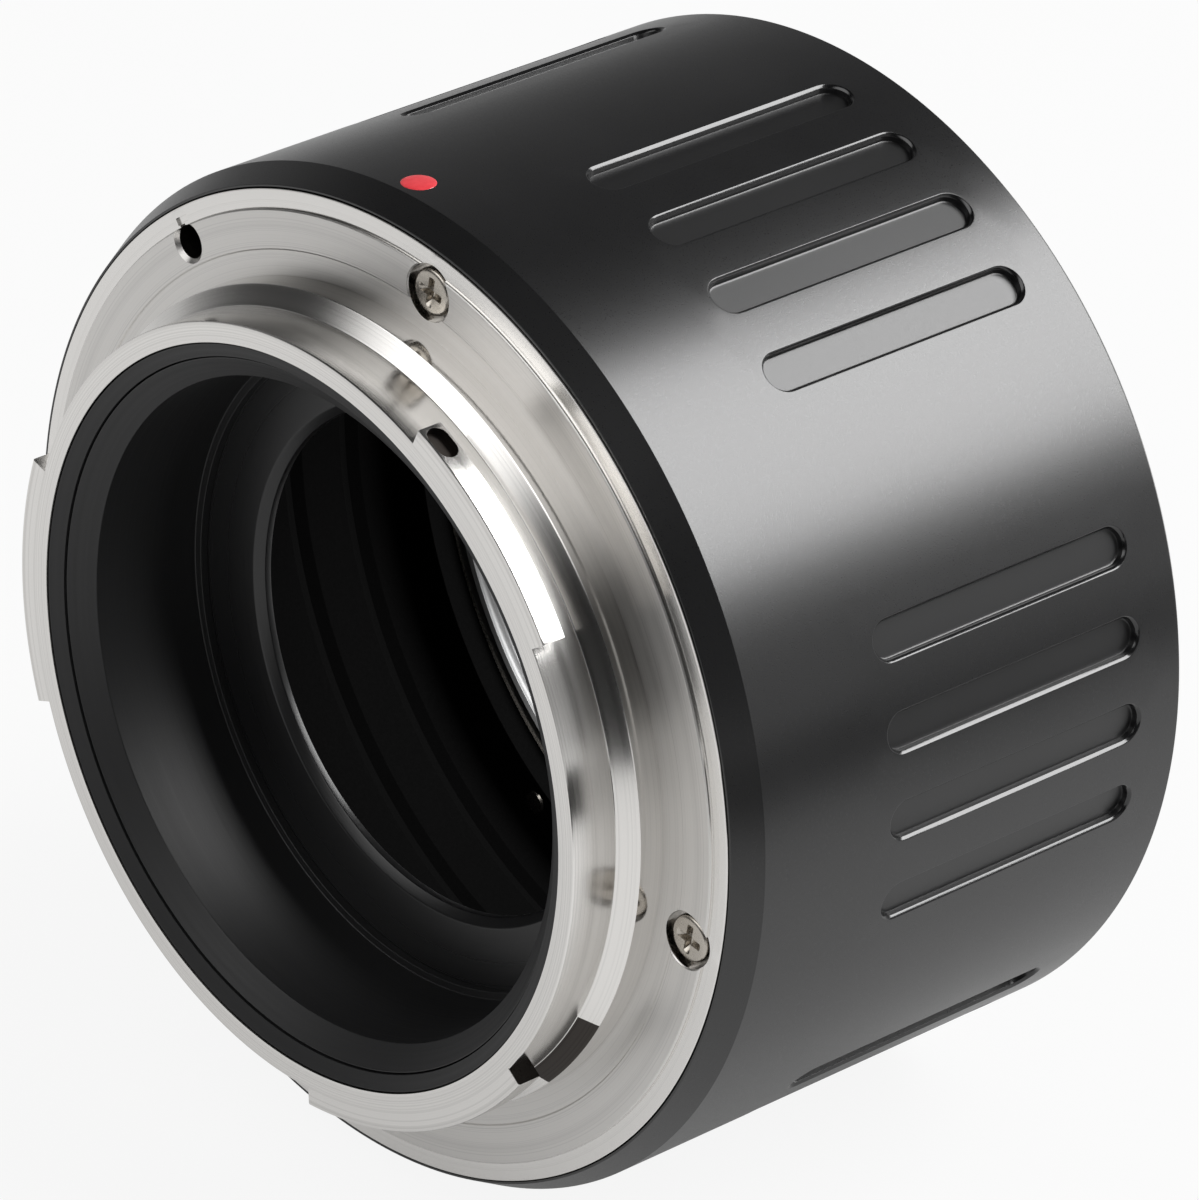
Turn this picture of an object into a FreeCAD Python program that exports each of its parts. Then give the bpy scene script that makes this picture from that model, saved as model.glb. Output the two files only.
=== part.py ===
import FreeCAD, Part
import math
import os
import re
import Sketcher
from FreeCAD import Placement, Rotation, Vector

# The rear mount tube of an anamorphic cinema lens, with a three-lug bayonet for the camera at
# one end and a threaded seat for the lens at the other. The optical axis is Y. The camera is on
# the -Y side, the lens on the +Y side, and +Z is up when the camera stands level. The origin is
# on the axis, in the plane of the seat that meets the camera.
# Lengths are in millimetres. Angles are in degrees, clockwise from the index mark at the top as
# the camera sees the bayonet.

doc = FreeCAD.newDocument("MountTube")
sheet = doc.addObject("Spreadsheet::Sheet", "Sizes")

SIZES = {
    # bayonet plate, from the register that centres it in the camera outwards and inwards
    "register_radius": 26.97,
    "register_length": 1.75,
    "flange_width": 5.53,
    "flange_thickness": 2.2,
    "seat_margin": 1.25,
    "seat_width": 2.65,
    "seat_rise": 0.1,
    "seat_outer_rise": 0.25,
    "neck_step": 1.17,
    "neck_taper": 0.9,
    "rim_wall": 1.4,
    "rim_length": 6.15,
    "edge_break": 0.15,
    "lug_relief": 0.02,
    "lug_thickness": 1.75,
    "lug_root": 0.4,
    "long_lug_angle": 128.2,
    "long_lug_span": 48.8,
    "middle_lug_angle": 251.0,
    "middle_lug_span": 37.4,
    "short_lug_angle": 25.3,
    "short_lug_span": 32.6,
    "lug_slot_angle": 28.2,
    "lug_slot_length": 2.35,
    "lug_slot_margin": 0.15,
    "lug_slot_depth": 0.6,
    "baffle_pocket_step": 1.5,
    "baffle_pocket_depth": 1.3,
    # screws, holes and dowel of the bayonet plate
    "flange_screw_count": 4,
    "flange_screw_inset": 2.75,
    "flange_screw_angle": 10.2,
    "flange_screw_radius": 1.0,
    "flange_screw_length": 4.4,
    "flange_head_radius": 1.55,
    "flange_head_height": 1.0,
    "flange_head_clearance": 0.32,
    "flange_head_recess": 0.2,
    "lock_hole_inset": 2.3,
    "lock_hole_angle": 324.8,
    "lock_hole_radius": 1.1,
    "lock_hole_floor": 0.4,
    "lock_mouth_width": 0.25,
    "lock_notch_inset": 0.85,
    "lock_notch_width": 1.2,
    "lock_notch_height": 0.5,
    "lock_notch_depth": 0.4,
    "dowel_angle": 55.2,
    "dowel_radius": 0.75,
    "dowel_length": 3.2,
    "dowel_depth": 1.0,
    # shims under the bayonet plate
    "shim_inset": 0.5,
    "thick_shim": 0.2,
    "thin_shim": 0.1,
    # barrel
    "flange_surround": 1.2,
    "barrel_front": 0.35,
    "barrel_length": 37.8,
    "band_length": 1.9,
    "band_lip": 0.15,
    "rear_chamfer": 0.5,
    "web_thickness": 4.0,
    "bore_wall": 2.5,
    "rear_web_thickness": 1.8,
    "rear_web_step": 0.9,
    "grip_group_count": 6,
    "grip_group_angle": 25.2,
    "grip_pitch": 10.0,
    "grip_front_margin": 12.5,
    "grip_rear_margin": 4.0,
    "grip_slot_width": 2.45,
    "grip_slot_depth": 0.6,
    "grip_chamfer": 0.2,
    "trap_count": 4,
    "trap_margin": 3.1,
    "trap_width": 1.6,
    "trap_depth": 0.4,
    "mark_setback": 1.6,
    "mark_radius": 1.15,
    "mark_depth": 0.8,
    "mark_dome": 0.12,
    # black baffles and the light stop, each inside the last
    "mouth_recess": 0.1,
    "mouth_bevel": 0.48,
    "mouth_wall": 0.95,
    "joint_line": 0.15,
    "tube_wall": 1.55,
    "tube_recess": 0.7,
    "tube_lip": 1.28,
    "stop_lip_height": 0.55,
    "stop_lip_place": 4.0,
    "stop_lip_length": 0.6,
    "stop_seat_step": 1.1,
    "tube_tail": 2.5,
    "tail_wall": 1.6,
    "tube_flange_edge": 1.8,
    "tube_flange_thickness": 1.4,
    "stop_rim": 1.0,
    "stop_width": 4.4,
    "stop_bevel_width": 0.6,
    "stop_cone_depth": 0.65,
    "stop_bevel_depth": 0.45,
    "aperture_land": 0.5,
    "stop_boss_inset": 0.8,
    "retainer_step": 0.6,
    "retainer_length": 1.6,
    "retainer_notch_width": 1.6,
    "retainer_notch_depth": 0.7,
    "baffle_screw_count": 3,
    "baffle_screw_outset": 1.7,
    "baffle_screw_angle": 60.0,
    "baffle_screw_radius": 0.7,
    "baffle_screw_length": 4.4,
    "baffle_head_radius": 1.2,
    "baffle_head_height": 0.9,
    # coupling for the lens
    "coupling_length": 7.2,
    "coupling_wall": 1.5,
    "coupling_width": 4.55,
    "coupling_shim_thickness": 0.15,
    "thread_lead": 0.2,
    "thread_relief_step": 0.7,
    "thread_relief_depth": 1.2,
    "coupling_screw_count": 4,
    "coupling_screw_angle": 33.4,
    "coupling_screw_radius": 0.85,
    "coupling_screw_tip": 0.15,
    "coupling_head_radius": 1.35,
    "coupling_head_height": 1.1,
    "coupling_head_clearance": 0.15,
    "coupling_head_floor": 2.0,
    # clearances, and what every screw shares
    "fit_gap": 0.05,
    "screw_gap": 0.05,
    "blind_gap": 0.3,
    "head_bevel": 0.2,
    "recess_width": 0.45,
    "recess_share": 0.62,
    "recess_depth": 0.55,
}

for row, (name, value) in enumerate(SIZES.items(), start=1):
    sheet.set(f"A{row}", name)
    sheet.set(f"B{row}", str(value))
    sheet.setAlias(f"B{row}", name)
doc.recompute()

# Radii, each worked out from the one beside it, first outwards from the register and then inwards.
FLANGE = "(register_radius + flange_width)"
SEAT_OUTER = f"({FLANGE} - seat_margin)"
SEAT_INNER = f"({SEAT_OUTER} - seat_width)"
FLANGE_SCREW_CIRCLE = f"({FLANGE} - flange_screw_inset)"
LOCK_HOLE_CIRCLE = f"({FLANGE} - lock_hole_inset)"
LOCK_NOTCH_CIRCLE = f"({FLANGE} - lock_notch_inset)"
BARREL = f"({FLANGE} + flange_surround)"
BORE = f"({BARREL} - bore_wall)"
NECK = "(register_radius - neck_step)"
LUG = "(register_radius - lug_relief)"
RIM_INNER = f"({NECK} - rim_wall)"
BAFFLE_POCKET = f"({RIM_INNER} + baffle_pocket_step)"
SHIM_INNER = f"({BAFFLE_POCKET} + shim_inset)"
MOUTH_INNER = f"({RIM_INNER} - mouth_wall)"
TUBE_OUTER = f"({MOUTH_INNER} - joint_line)"
TUBE_BORE = f"({TUBE_OUTER} - tube_wall)"
STOP_LIP = f"({TUBE_BORE} - stop_lip_height)"
STOP_SEAT_RADIUS = f"({STOP_LIP} + stop_seat_step)"
TAIL = f"({STOP_SEAT_RADIUS} + tail_wall)"
BAFFLE_SCREW_CIRCLE = f"({TAIL} + baffle_screw_outset)"
TUBE_FLANGE = f"({BAFFLE_SCREW_CIRCLE} + tube_flange_edge)"
APERTURE = f"({STOP_LIP} - stop_width)"
STOP_BOSS = f"({STOP_LIP} - stop_boss_inset)"
RETAINER_INNER = f"({STOP_BOSS} + retainer_step)"
COUPLING = f"({BARREL} - coupling_wall - fit_gap)"
THREAD = f"({COUPLING} - coupling_width)"
COUPLING_SCREW_CIRCLE = f"(({COUPLING} + {THREAD}) / 2)"
REAR_WEB = f"({THREAD} + rear_web_step)"

# Places along the axis, each worked out from the sizes that stack up to it.
RIM_FRONT = "(-rim_length)"
BAFFLE_SEAT = "(flange_thickness - baffle_pocket_depth)"
WEB_FRONT = "(flange_thickness + thick_shim + thin_shim)"
WEB_REAR = f"({WEB_FRONT} + web_thickness)"
BARREL_REAR = "(barrel_front + barrel_length)"
COUPLING_FRONT = f"({BARREL_REAR} - coupling_length)"
REAR_SEAT = f"({COUPLING_FRONT} - coupling_shim_thickness)"
REAR_WEB_FRONT = f"({REAR_SEAT} - rear_web_thickness)"
MARK_PLACE = "(barrel_front + band_length + mark_setback)"
GRIP_FRONT = "(barrel_front + grip_front_margin)"
GRIP_REAR = f"({BARREL_REAR} - grip_rear_margin)"
TRAP_START = f"({WEB_REAR} + trap_margin)"
TRAP_REACH = f"({REAR_WEB_FRONT} - trap_margin - trap_width - {TRAP_START})"
STOP_SEAT = "(stop_lip_place + stop_lip_length)"
RETAINER_SEAT = f"({STOP_SEAT} + stop_rim)"
TUBE_FLANGE_REAR = f"({WEB_REAR} + tube_flange_thickness)"
HEAD_SEAT = "(flange_head_height + flange_head_recess)"
COUPLING_HEAD_SEAT = f"({COUPLING_FRONT} + coupling_head_floor)"

ALONG_X = Vector(1, 0, 0)
ALONG_Y = Vector(0, 1, 0)
ALONG_Z = Vector(0, 0, 1)


def bound(formula):
    """Name the sheet in front of each size in a formula, and leave functions such as sin alone."""
    return re.sub(r"\b[a-z][a-z_]*\b(?!\()", lambda word: "Sizes." + word.group(), str(formula))


def new_body(name):
    body = doc.addObject("PartDesign::Body", name)
    body.Label = name
    return body


def origin_item(body, role):
    return next(item for item in body.Origin.OriginFeatures if item.Role == role)


def new_sketch(body, name, plane, turn_about=None, turn="0", base=("0", "0", "0")):
    """A sketch on one of the body's own planes, moved by base and then turned about an axis of
    its own."""
    sketch = body.newObject("Sketcher::SketchObject", name)
    sketch.AttachmentSupport = [(origin_item(body, plane), "")]
    sketch.MapMode = "FlatFace"
    if turn_about:
        sketch.AttachmentOffset = Placement(Vector(), Rotation(turn_about, 1))
        sketch.setExpression("AttachmentOffset.Rotation.Angle", bound(turn))
    for letter, formula in zip("xyz", base):
        sketch.setExpression(f"AttachmentOffset.Base.{letter}", bound(formula))
    return sketch


def profile_sketch(body, name, angle="0"):
    """A half section: across is the distance along the axis, up is the radius."""
    return new_sketch(body, name, "YZ_Plane", ALONG_X, angle)


def face_sketch(body, name, place, angle="0"):
    """A sketch square to the axis at a place along it, turned clockwise from the top."""
    return new_sketch(body, name, "XZ_Plane", ALONG_Z, f"-({angle})", ("0", "0", f"-({place})"))


def wall_sketch(body, name, radius, angle="0"):
    """A sketch that touches a cylinder about the axis: across is the tangent, up is the axis."""
    base = (f"{radius} * sin({angle})", "0", f"{radius} * cos({angle})")
    return new_sketch(body, name, "XY_Plane", ALONG_Y, angle, base)


def dimension(sketch, kind, geometry, point, formula, start):
    index = sketch.addConstraint(Sketcher.Constraint(kind, -1, 1, geometry, point, start))
    sketch.setExpression(f"Constraints[{index}]", bound(formula))


def outline(sketch, corners):
    """A closed outline. Its corners start spread round a circle, and their dimensions then pull
    each one to its place."""
    count = len(corners)
    start = []
    for number in range(count):
        swing = 2 * math.pi * number / count
        start.append(Vector(30 + 10 * math.cos(swing), 30 + 10 * math.sin(swing), 0))
    first = sketch.GeometryCount
    for number in range(count):
        line = Part.LineSegment(start[number], start[(number + 1) % count])
        sketch.addGeometry(line, False)
    for number in range(count):
        after = first + (number + 1) % count
        sketch.addConstraint(Sketcher.Constraint("Coincident", first + number, 2, after, 1))
    for number, (across, up) in enumerate(corners):
        dimension(sketch, "DistanceX", first + number, 1, across, start[number].x)
        dimension(sketch, "DistanceY", first + number, 1, up, start[number].y)


def circle(sketch, up, radius):
    """A circle above the sketch's origin."""
    item = sketch.addGeometry(Part.Circle(Vector(0, 10, 0), ALONG_Z, 1), False)
    sketch.addConstraint(Sketcher.Constraint("PointOnObject", item, 3, -2))
    dimension(sketch, "DistanceY", item, 3, up, 10)
    index = sketch.addConstraint(Sketcher.Constraint("Radius", item, 1))
    sketch.setExpression(f"Constraints[{index}]", bound(radius))


def round_slot(sketch, up, half_reach, radius, lengthwise):
    """A slot with round ends about a point above the sketch's origin. half_reach is the distance
    from its middle to the centre of each end. It runs up the sketch if it is lengthwise."""
    reach = 5
    ends = [Vector(0, reach, 0), Vector(0, -reach, 0)] if lengthwise else [
        Vector(-reach, 0, 0), Vector(reach, 0, 0)]
    turn = 0 if lengthwise else math.pi / 2
    side = Vector(1, 0, 0) if lengthwise else Vector(0, 1, 0)
    first_end = Part.Circle(ends[0], ALONG_Z, 1)
    second_end = Part.Circle(ends[1], ALONG_Z, 1)
    sketch.addGeometry(Part.ArcOfCircle(first_end, turn, turn + math.pi), False)
    sketch.addGeometry(Part.ArcOfCircle(second_end, turn + math.pi, turn + 2 * math.pi), False)
    sketch.addGeometry(Part.LineSegment(ends[0] - side, ends[1] - side), False)
    sketch.addGeometry(Part.LineSegment(ends[1] + side, ends[0] + side), False)
    for one, one_point, other, other_point in ((0, 2, 2, 1), (2, 2, 1, 1), (1, 2, 3, 1), (3, 2, 0, 1)):
        sketch.addConstraint(Sketcher.Constraint("Tangent", one, one_point, other, other_point))
    sketch.addConstraint(Sketcher.Constraint("Equal", 0, 1))
    index = sketch.addConstraint(Sketcher.Constraint("Radius", 0, 1))
    sketch.setExpression(f"Constraints[{index}]", bound(radius))
    for item, sign in ((0, 1), (1, -1)):
        across = "0" if lengthwise else f"{-sign} * ({half_reach})"
        height = f"{up} + {sign} * ({half_reach})" if lengthwise else up
        dimension(sketch, "DistanceX", item, 3, across, ends[item].x)
        dimension(sketch, "DistanceY", item, 3, height, ends[item].y)


def turned(body, name, corners, angle="0", span="360", kind="Revolution"):
    """Turn a half section about the axis, all the way or through a span. A Groove cuts it."""
    sketch = profile_sketch(body, name + "Section", angle)
    outline(sketch, corners)
    feature = body.newObject("PartDesign::" + kind, name)
    feature.Profile = sketch
    feature.ReferenceAxis = (sketch, ["H_Axis"])
    feature.setExpression("Angle", bound(span))
    body.Tip = feature
    return feature


def pad(body, name, sketch, length, rearwards=True):
    """Add a sketch's shape along the axis. A square sketch's own side faces the camera."""
    feature = body.newObject("PartDesign::Pad", name)
    feature.Profile = sketch
    feature.Reversed = rearwards
    feature.setExpression("Length", bound(length))
    body.Tip = feature
    return feature


def pocket(body, name, sketch, depth=None, from_rear=False):
    """Cut a sketch's shape away from the camera side, or from the rear towards it."""
    feature = body.newObject("PartDesign::Pocket", name)
    feature.Profile = sketch
    feature.Reversed = from_rear
    if depth is None:
        feature.Type = "ThroughAll"
    else:
        feature.setExpression("Length", bound(depth))
    body.Tip = feature
    return feature


def drilled(body, name, sketch, radius, depth=None, cut=None, from_rear=False):
    """Drill a sketch's circle. cut is the hole's mouth: its kind, its radius and its depth."""
    doc.recompute()
    feature = body.newObject("PartDesign::Hole", name)
    feature.Profile = sketch
    feature.Reversed = from_rear
    feature.Threaded = False
    feature.DrillPoint = "Flat"
    feature.setExpression("Diameter", bound(f"2 * ({radius})"))
    if depth is None:
        feature.DepthType = "ThroughAll"
    else:
        feature.DepthType = "Dimension"
        feature.setExpression("Depth", bound(depth))
    if cut:
        kind, mouth_radius, mouth_depth = cut
        feature.HoleCutType = kind
        feature.HoleCutCustomValues = True
        feature.setExpression("HoleCutDiameter", bound(f"2 * ({mouth_radius})"))
        if kind == "Countersink":
            feature.HoleCutCountersinkAngle = 90
        else:
            feature.setExpression("HoleCutDepth", bound(mouth_depth))
    body.Tip = feature
    return feature


def repeated(body, name, originals, count):
    """Repeat features at even steps all the way round the axis."""
    feature = body.newObject("PartDesign::PolarPattern", name)
    feature.Originals = originals
    feature.Axis = (origin_item(body, "Y_Axis"), [""])
    feature.Angle = 360
    feature.setExpression("Occurrences", bound(count))
    body.Tip = feature
    return feature


def screw_group(name, seat, angle, circle_radius, count, screw, facing_rear=False):
    """Equal pan-head screws on a circle about the axis. screw holds the shank's radius and
    length and the head's radius and height. The seat is where the heads rest, and the cross
    recess is sunk into the head's top."""
    shank_radius, shank_length, head_radius, head_height = screw
    body = new_body(name)
    shank = face_sketch(body, "Shank", seat, angle)
    circle(shank, circle_radius, shank_radius)
    pad(body, "ShankPad", shank, shank_length, rearwards=not facing_rear)
    head = face_sketch(body, "Head", seat, angle)
    circle(head, circle_radius, head_radius)
    head_pad = pad(body, "HeadPad", head, head_height, rearwards=facing_rear)
    doc.recompute()
    top = max if facing_rear else min
    rims = [(edge.BoundBox.Center.y, f"Edge{number}")
            for number, edge in enumerate(head_pad.Shape.Edges, start=1)
            if edge.BoundBox.YLength < 0.001]
    bevel = body.newObject("PartDesign::Chamfer", "HeadBevel")
    bevel.Base = (head_pad, [top(rims)[1]])
    bevel.setExpression("Size", bound("head_bevel"))
    body.Tip = bevel
    sign = "+" if facing_rear else "-"
    recess = face_sketch(body, "Recess", f"({seat} {sign} {head_height})", angle)
    wide, narrow = f"{head_radius} * recess_share", "recess_width / 2"
    outline(recess, [
        (f"-{wide}", f"{circle_radius} - {narrow}"),
        (f"-{narrow}", f"{circle_radius} - {narrow}"),
        (f"-{narrow}", f"{circle_radius} - {wide}"),
        (narrow, f"{circle_radius} - {wide}"),
        (narrow, f"{circle_radius} - {narrow}"),
        (wide, f"{circle_radius} - {narrow}"),
        (wide, f"{circle_radius} + {narrow}"),
        (narrow, f"{circle_radius} + {narrow}"),
        (narrow, f"{circle_radius} + {wide}"),
        (f"-{narrow}", f"{circle_radius} + {wide}"),
        (f"-{narrow}", f"{circle_radius} + {narrow}"),
        (f"-{wide}", f"{circle_radius} + {narrow}"),
    ])
    pocket(body, "RecessPocket", recess, "recess_depth", from_rear=facing_rear)
    doc.recompute()
    group = repeated(body, "Group", [], count)
    group.TransformMode = "Whole shape"
    return body


def bayonet_mount():
    """The chrome-plated plate that meets the camera: a flange with a raised seat, a register
    that centres it, a neck, and a rim with three unequal lugs."""
    body = new_body("bayonet_mount")
    turned(body, "Plate", [
        (f"{RIM_FRONT} + edge_break", RIM_INNER),
        (RIM_FRONT, f"{RIM_INNER} + edge_break"),
        (RIM_FRONT, f"{NECK} - edge_break"),
        (f"{RIM_FRONT} + edge_break", NECK),
        ("-register_length - neck_taper", NECK),
        ("-register_length", "register_radius"),
        ("seat_rise", "register_radius"),
        ("seat_rise", SEAT_INNER),
        ("0", f"{SEAT_INNER} + seat_rise"),
        ("0", f"{SEAT_OUTER} - seat_rise"),
        ("seat_rise", SEAT_OUTER),
        ("seat_outer_rise", SEAT_OUTER),
        ("seat_outer_rise", f"{FLANGE} - edge_break"),
        ("seat_outer_rise + edge_break", FLANGE),
        ("flange_thickness", FLANGE),
        ("flange_thickness", BAFFLE_POCKET),
        (BAFFLE_SEAT, BAFFLE_POCKET),
        (BAFFLE_SEAT, RIM_INNER),
    ])
    # Three lugs of different spans, so that the plate enters the camera one way round only.
    for lug in ("short", "long", "middle"):
        turned(body, lug.capitalize() + "Lug", [
            (RIM_FRONT, f"{NECK} - lug_root"),
            (RIM_FRONT, f"{LUG} - edge_break"),
            (f"{RIM_FRONT} + edge_break", LUG),
            (f"{RIM_FRONT} + lug_thickness", LUG),
            (f"{RIM_FRONT} + lug_thickness", f"{NECK} - lug_root"),
        ], f"{lug}_lug_angle", f"{lug}_lug_span")
    # The short lug has a blind slot in its outer wall, close to one end.
    lug_slot = wall_sketch(body, "LugSlot", LUG, "lug_slot_angle")
    middle = f"({RIM_FRONT} + lug_thickness / 2)"
    half_width = "(lug_thickness / 2 - lug_slot_margin)"
    round_slot(lug_slot, middle, f"lug_slot_length / 2 - {half_width}", half_width, False)
    pocket(body, "LugSlotPocket", lug_slot, "lug_slot_depth")
    # Four counterbored holes let the screw heads lie below the seat.
    screw = face_sketch(body, "ScrewPlace", "0", "flange_screw_angle")
    circle(screw, FLANGE_SCREW_CIRCLE, "flange_screw_radius + screw_gap")
    counterbore = ("Counterbore", "flange_head_radius + flange_head_clearance", HEAD_SEAT)
    hole = drilled(body, "ScrewHole", screw, "flange_screw_radius + screw_gap", None, counterbore)
    repeated(body, "ScrewHoles", [hole], "flange_screw_count")
    # The camera's lock pin drops into a hole with a bevelled mouth, and a notch lies beside it.
    lock = face_sketch(body, "LockPlace", "0", "lock_hole_angle")
    circle(lock, LOCK_HOLE_CIRCLE, "lock_hole_radius")
    countersink = ("Countersink", "lock_hole_radius + lock_mouth_width", "0")
    depth = "flange_thickness - lock_hole_floor"
    drilled(body, "LockHole", lock, "lock_hole_radius", depth, countersink)
    notch = face_sketch(body, "NotchPlace", "0", "lock_hole_angle")
    outline(notch, [
        ("-lock_notch_width / 2", f"{LOCK_NOTCH_CIRCLE} - lock_notch_height / 2"),
        ("lock_notch_width / 2", f"{LOCK_NOTCH_CIRCLE} - lock_notch_height / 2"),
        ("lock_notch_width / 2", f"{LOCK_NOTCH_CIRCLE} + lock_notch_height / 2"),
        ("-lock_notch_width / 2", f"{LOCK_NOTCH_CIRCLE} + lock_notch_height / 2"),
    ])
    pocket(body, "Notch", notch, "lock_notch_depth")
    # A dowel in the rear face sets the plate's angle in the barrel.
    dowel = face_sketch(body, "DowelPlace", "flange_thickness", "dowel_angle")
    circle(dowel, FLANGE_SCREW_CIRCLE, "dowel_radius + fit_gap")
    pocket(body, "DowelHole", dowel, "dowel_depth", from_rear=True)
    return body


def flange_shim(name, place, thickness):
    """A thin ring that sets the distance from the seat to the lens."""
    body = new_body(name)
    turned(body, "Ring", [
        (place, SHIM_INNER),
        (place, FLANGE),
        (f"{place} + {thickness}", FLANGE),
        (f"{place} + {thickness}", SHIM_INNER),
    ])
    screw = face_sketch(body, "ScrewPlace", place, "flange_screw_angle")
    circle(screw, FLANGE_SCREW_CIRCLE, "flange_screw_radius + screw_gap")
    hole = pocket(body, "ScrewHole", screw)
    repeated(body, "ScrewHoles", [hole], "flange_screw_count")
    dowel = face_sketch(body, "DowelPlace", place, "dowel_angle")
    circle(dowel, FLANGE_SCREW_CIRCLE, "dowel_radius + fit_gap")
    pocket(body, "DowelHole", dowel)
    return body


def mount_dowel():
    """A steel pin between the bayonet plate and the barrel."""
    body = new_body("mount_dowel")
    start = face_sketch(body, "PinEnd", "flange_thickness - dowel_depth", "dowel_angle")
    circle(start, FLANGE_SCREW_CIRCLE, "dowel_radius")
    pad(body, "Pin", start, "dowel_length")
    return body


def barrel():
    """The black tube between the camera end and the lens end."""
    body = new_body("barrel")
    web_bore = f"{TUBE_OUTER} + fit_gap"
    counterbore = f"{FLANGE} + fit_gap"
    coupling_bore = f"{COUPLING} + fit_gap"
    turned(body, "Tube", [
        ("barrel_front", counterbore),
        ("barrel_front", f"{counterbore} + band_lip"),
        ("barrel_front + band_length", BARREL),
        (f"{BARREL_REAR} - rear_chamfer", BARREL),
        (BARREL_REAR, f"{BARREL} - rear_chamfer"),
        (BARREL_REAR, coupling_bore),
        (REAR_SEAT, coupling_bore),
        (REAR_SEAT, REAR_WEB),
        (REAR_WEB_FRONT, REAR_WEB),
        (REAR_WEB_FRONT, BORE),
        (WEB_REAR, BORE),
        (WEB_REAR, web_bore),
        (WEB_FRONT, web_bore),
        (WEB_FRONT, counterbore),
    ])
    # Groups of four long finger slots with flat floors and chamfered mouths.
    slots = []
    for number, steps in enumerate(("-1.5", "-0.5", "0.5", "1.5"), start=1):
        angle = f"(grip_group_angle + ({steps}) * grip_pitch)"
        centre = f"({GRIP_FRONT} + {GRIP_REAR}) / 2"
        reach = f"({GRIP_REAR} - {GRIP_FRONT} - grip_slot_width) / 2"
        sketch = wall_sketch(body, f"GripSlot{number}", BARREL, angle)
        round_slot(sketch, centre, reach, "grip_slot_width / 2", True)
        slots.append(pocket(body, f"GripPocket{number}", sketch, "grip_slot_depth"))
        mouth = wall_sketch(body, f"GripMouth{number}", BARREL, angle)
        round_slot(mouth, centre, reach, "grip_slot_width / 2 + grip_chamfer", True)
        chamfer = pocket(body, f"GripChamfer{number}", mouth, "grip_chamfer")
        chamfer.TaperAngle = -45
        slots.append(chamfer)
    repeated(body, "GripSlots", slots, "grip_group_count")
    # Light-trap grooves break up stray light on the wall of the bore.
    trap = turned(body, "TrapGroove", [
        (TRAP_START, f"{BORE} - fit_gap"),
        (TRAP_START, BORE),
        (f"{TRAP_START} + trap_width / 2", f"{BORE} + trap_depth"),
        (f"{TRAP_START} + trap_width", BORE),
        (f"{TRAP_START} + trap_width", f"{BORE} - fit_gap"),
    ], kind="Groove")
    traps = body.newObject("PartDesign::LinearPattern", "TrapGrooves")
    traps.Originals = [trap]
    traps.Direction = (origin_item(body, "Y_Axis"), [""])
    traps.setExpression("Length", bound(TRAP_REACH))
    traps.setExpression("Occurrences", bound("trap_count"))
    body.Tip = traps
    # A dimple for the index mark lies at the top, behind the bevelled band.
    dimple = wall_sketch(body, "MarkPlace", BARREL)
    circle(dimple, MARK_PLACE, "mark_radius + fit_gap")
    pocket(body, "MarkDimple", dimple, "mark_depth")
    # Tapped holes and the dowel's hole in the front web.
    screw = face_sketch(body, "FlangeScrewPlace", WEB_FRONT, "flange_screw_angle")
    circle(screw, FLANGE_SCREW_CIRCLE, "flange_screw_radius + screw_gap")
    reach = f"({HEAD_SEAT} + flange_screw_length - {WEB_FRONT} + blind_gap)"
    hole = pocket(body, "FlangeScrewHole", screw, reach)
    repeated(body, "FlangeScrewHoles", [hole], "flange_screw_count")
    dowel = face_sketch(body, "DowelPlace", WEB_FRONT, "dowel_angle")
    circle(dowel, FLANGE_SCREW_CIRCLE, "dowel_radius + fit_gap")
    reach = f"(flange_thickness - dowel_depth + dowel_length - {WEB_FRONT} + blind_gap)"
    pocket(body, "DowelHole", dowel, reach)
    screw = face_sketch(body, "BaffleScrewPlace", WEB_REAR, "baffle_screw_angle")
    circle(screw, BAFFLE_SCREW_CIRCLE, "baffle_screw_radius + screw_gap")
    reach = "(baffle_screw_length - tube_flange_thickness + blind_gap)"
    hole = pocket(body, "BaffleScrewHole", screw, reach, from_rear=True)
    repeated(body, "BaffleScrewHoles", [hole], "baffle_screw_count")
    # Tapped holes right through the rear web.
    screw = face_sketch(body, "CouplingScrewPlace", REAR_WEB_FRONT, "coupling_screw_angle")
    circle(screw, COUPLING_SCREW_CIRCLE, "coupling_screw_radius + screw_gap")
    hole = pocket(body, "CouplingScrewHole", screw, "rear_web_thickness")
    repeated(body, "CouplingScrewHoles", [hole], "coupling_screw_count")
    return body


def index_mark():
    """The round red mark that shows how to turn the tube into the camera."""
    body = new_body("index_mark")
    sketch = new_sketch(body, "Section", "XZ_Plane")
    outline(sketch, [
        ("0", "0"),
        ("mark_radius", "0"),
        ("mark_radius", "mark_depth"),
        ("mark_radius * 0.6", "mark_depth + mark_dome * 0.7"),
        ("0", "mark_depth + mark_dome"),
    ])
    bead = body.newObject("PartDesign::Revolution", "Bead")
    bead.Profile = sketch
    bead.ReferenceAxis = (sketch, ["V_Axis"])
    bead.Angle = 360
    body.Tip = bead
    body.setExpression("Placement.Base.y", bound(MARK_PLACE))
    body.setExpression("Placement.Base.z", bound(f"{BARREL} - mark_depth"))
    return body


def mouth_baffle():
    """The black ring just inside the rim, clamped between the bayonet plate and the web."""
    body = new_body("mouth_baffle")
    outer = f"{RIM_INNER} - fit_gap"
    front = f"({RIM_FRONT} + mouth_recess)"
    turned(body, "Ring", [
        (front, outer),
        (f"{front} + mouth_bevel", MOUTH_INNER),
        (WEB_FRONT, MOUTH_INNER),
        (WEB_FRONT, f"{BAFFLE_POCKET} - fit_gap"),
        (BAFFLE_SEAT, f"{BAFFLE_POCKET} - fit_gap"),
        (BAFFLE_SEAT, outer),
    ])
    return body


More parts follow.
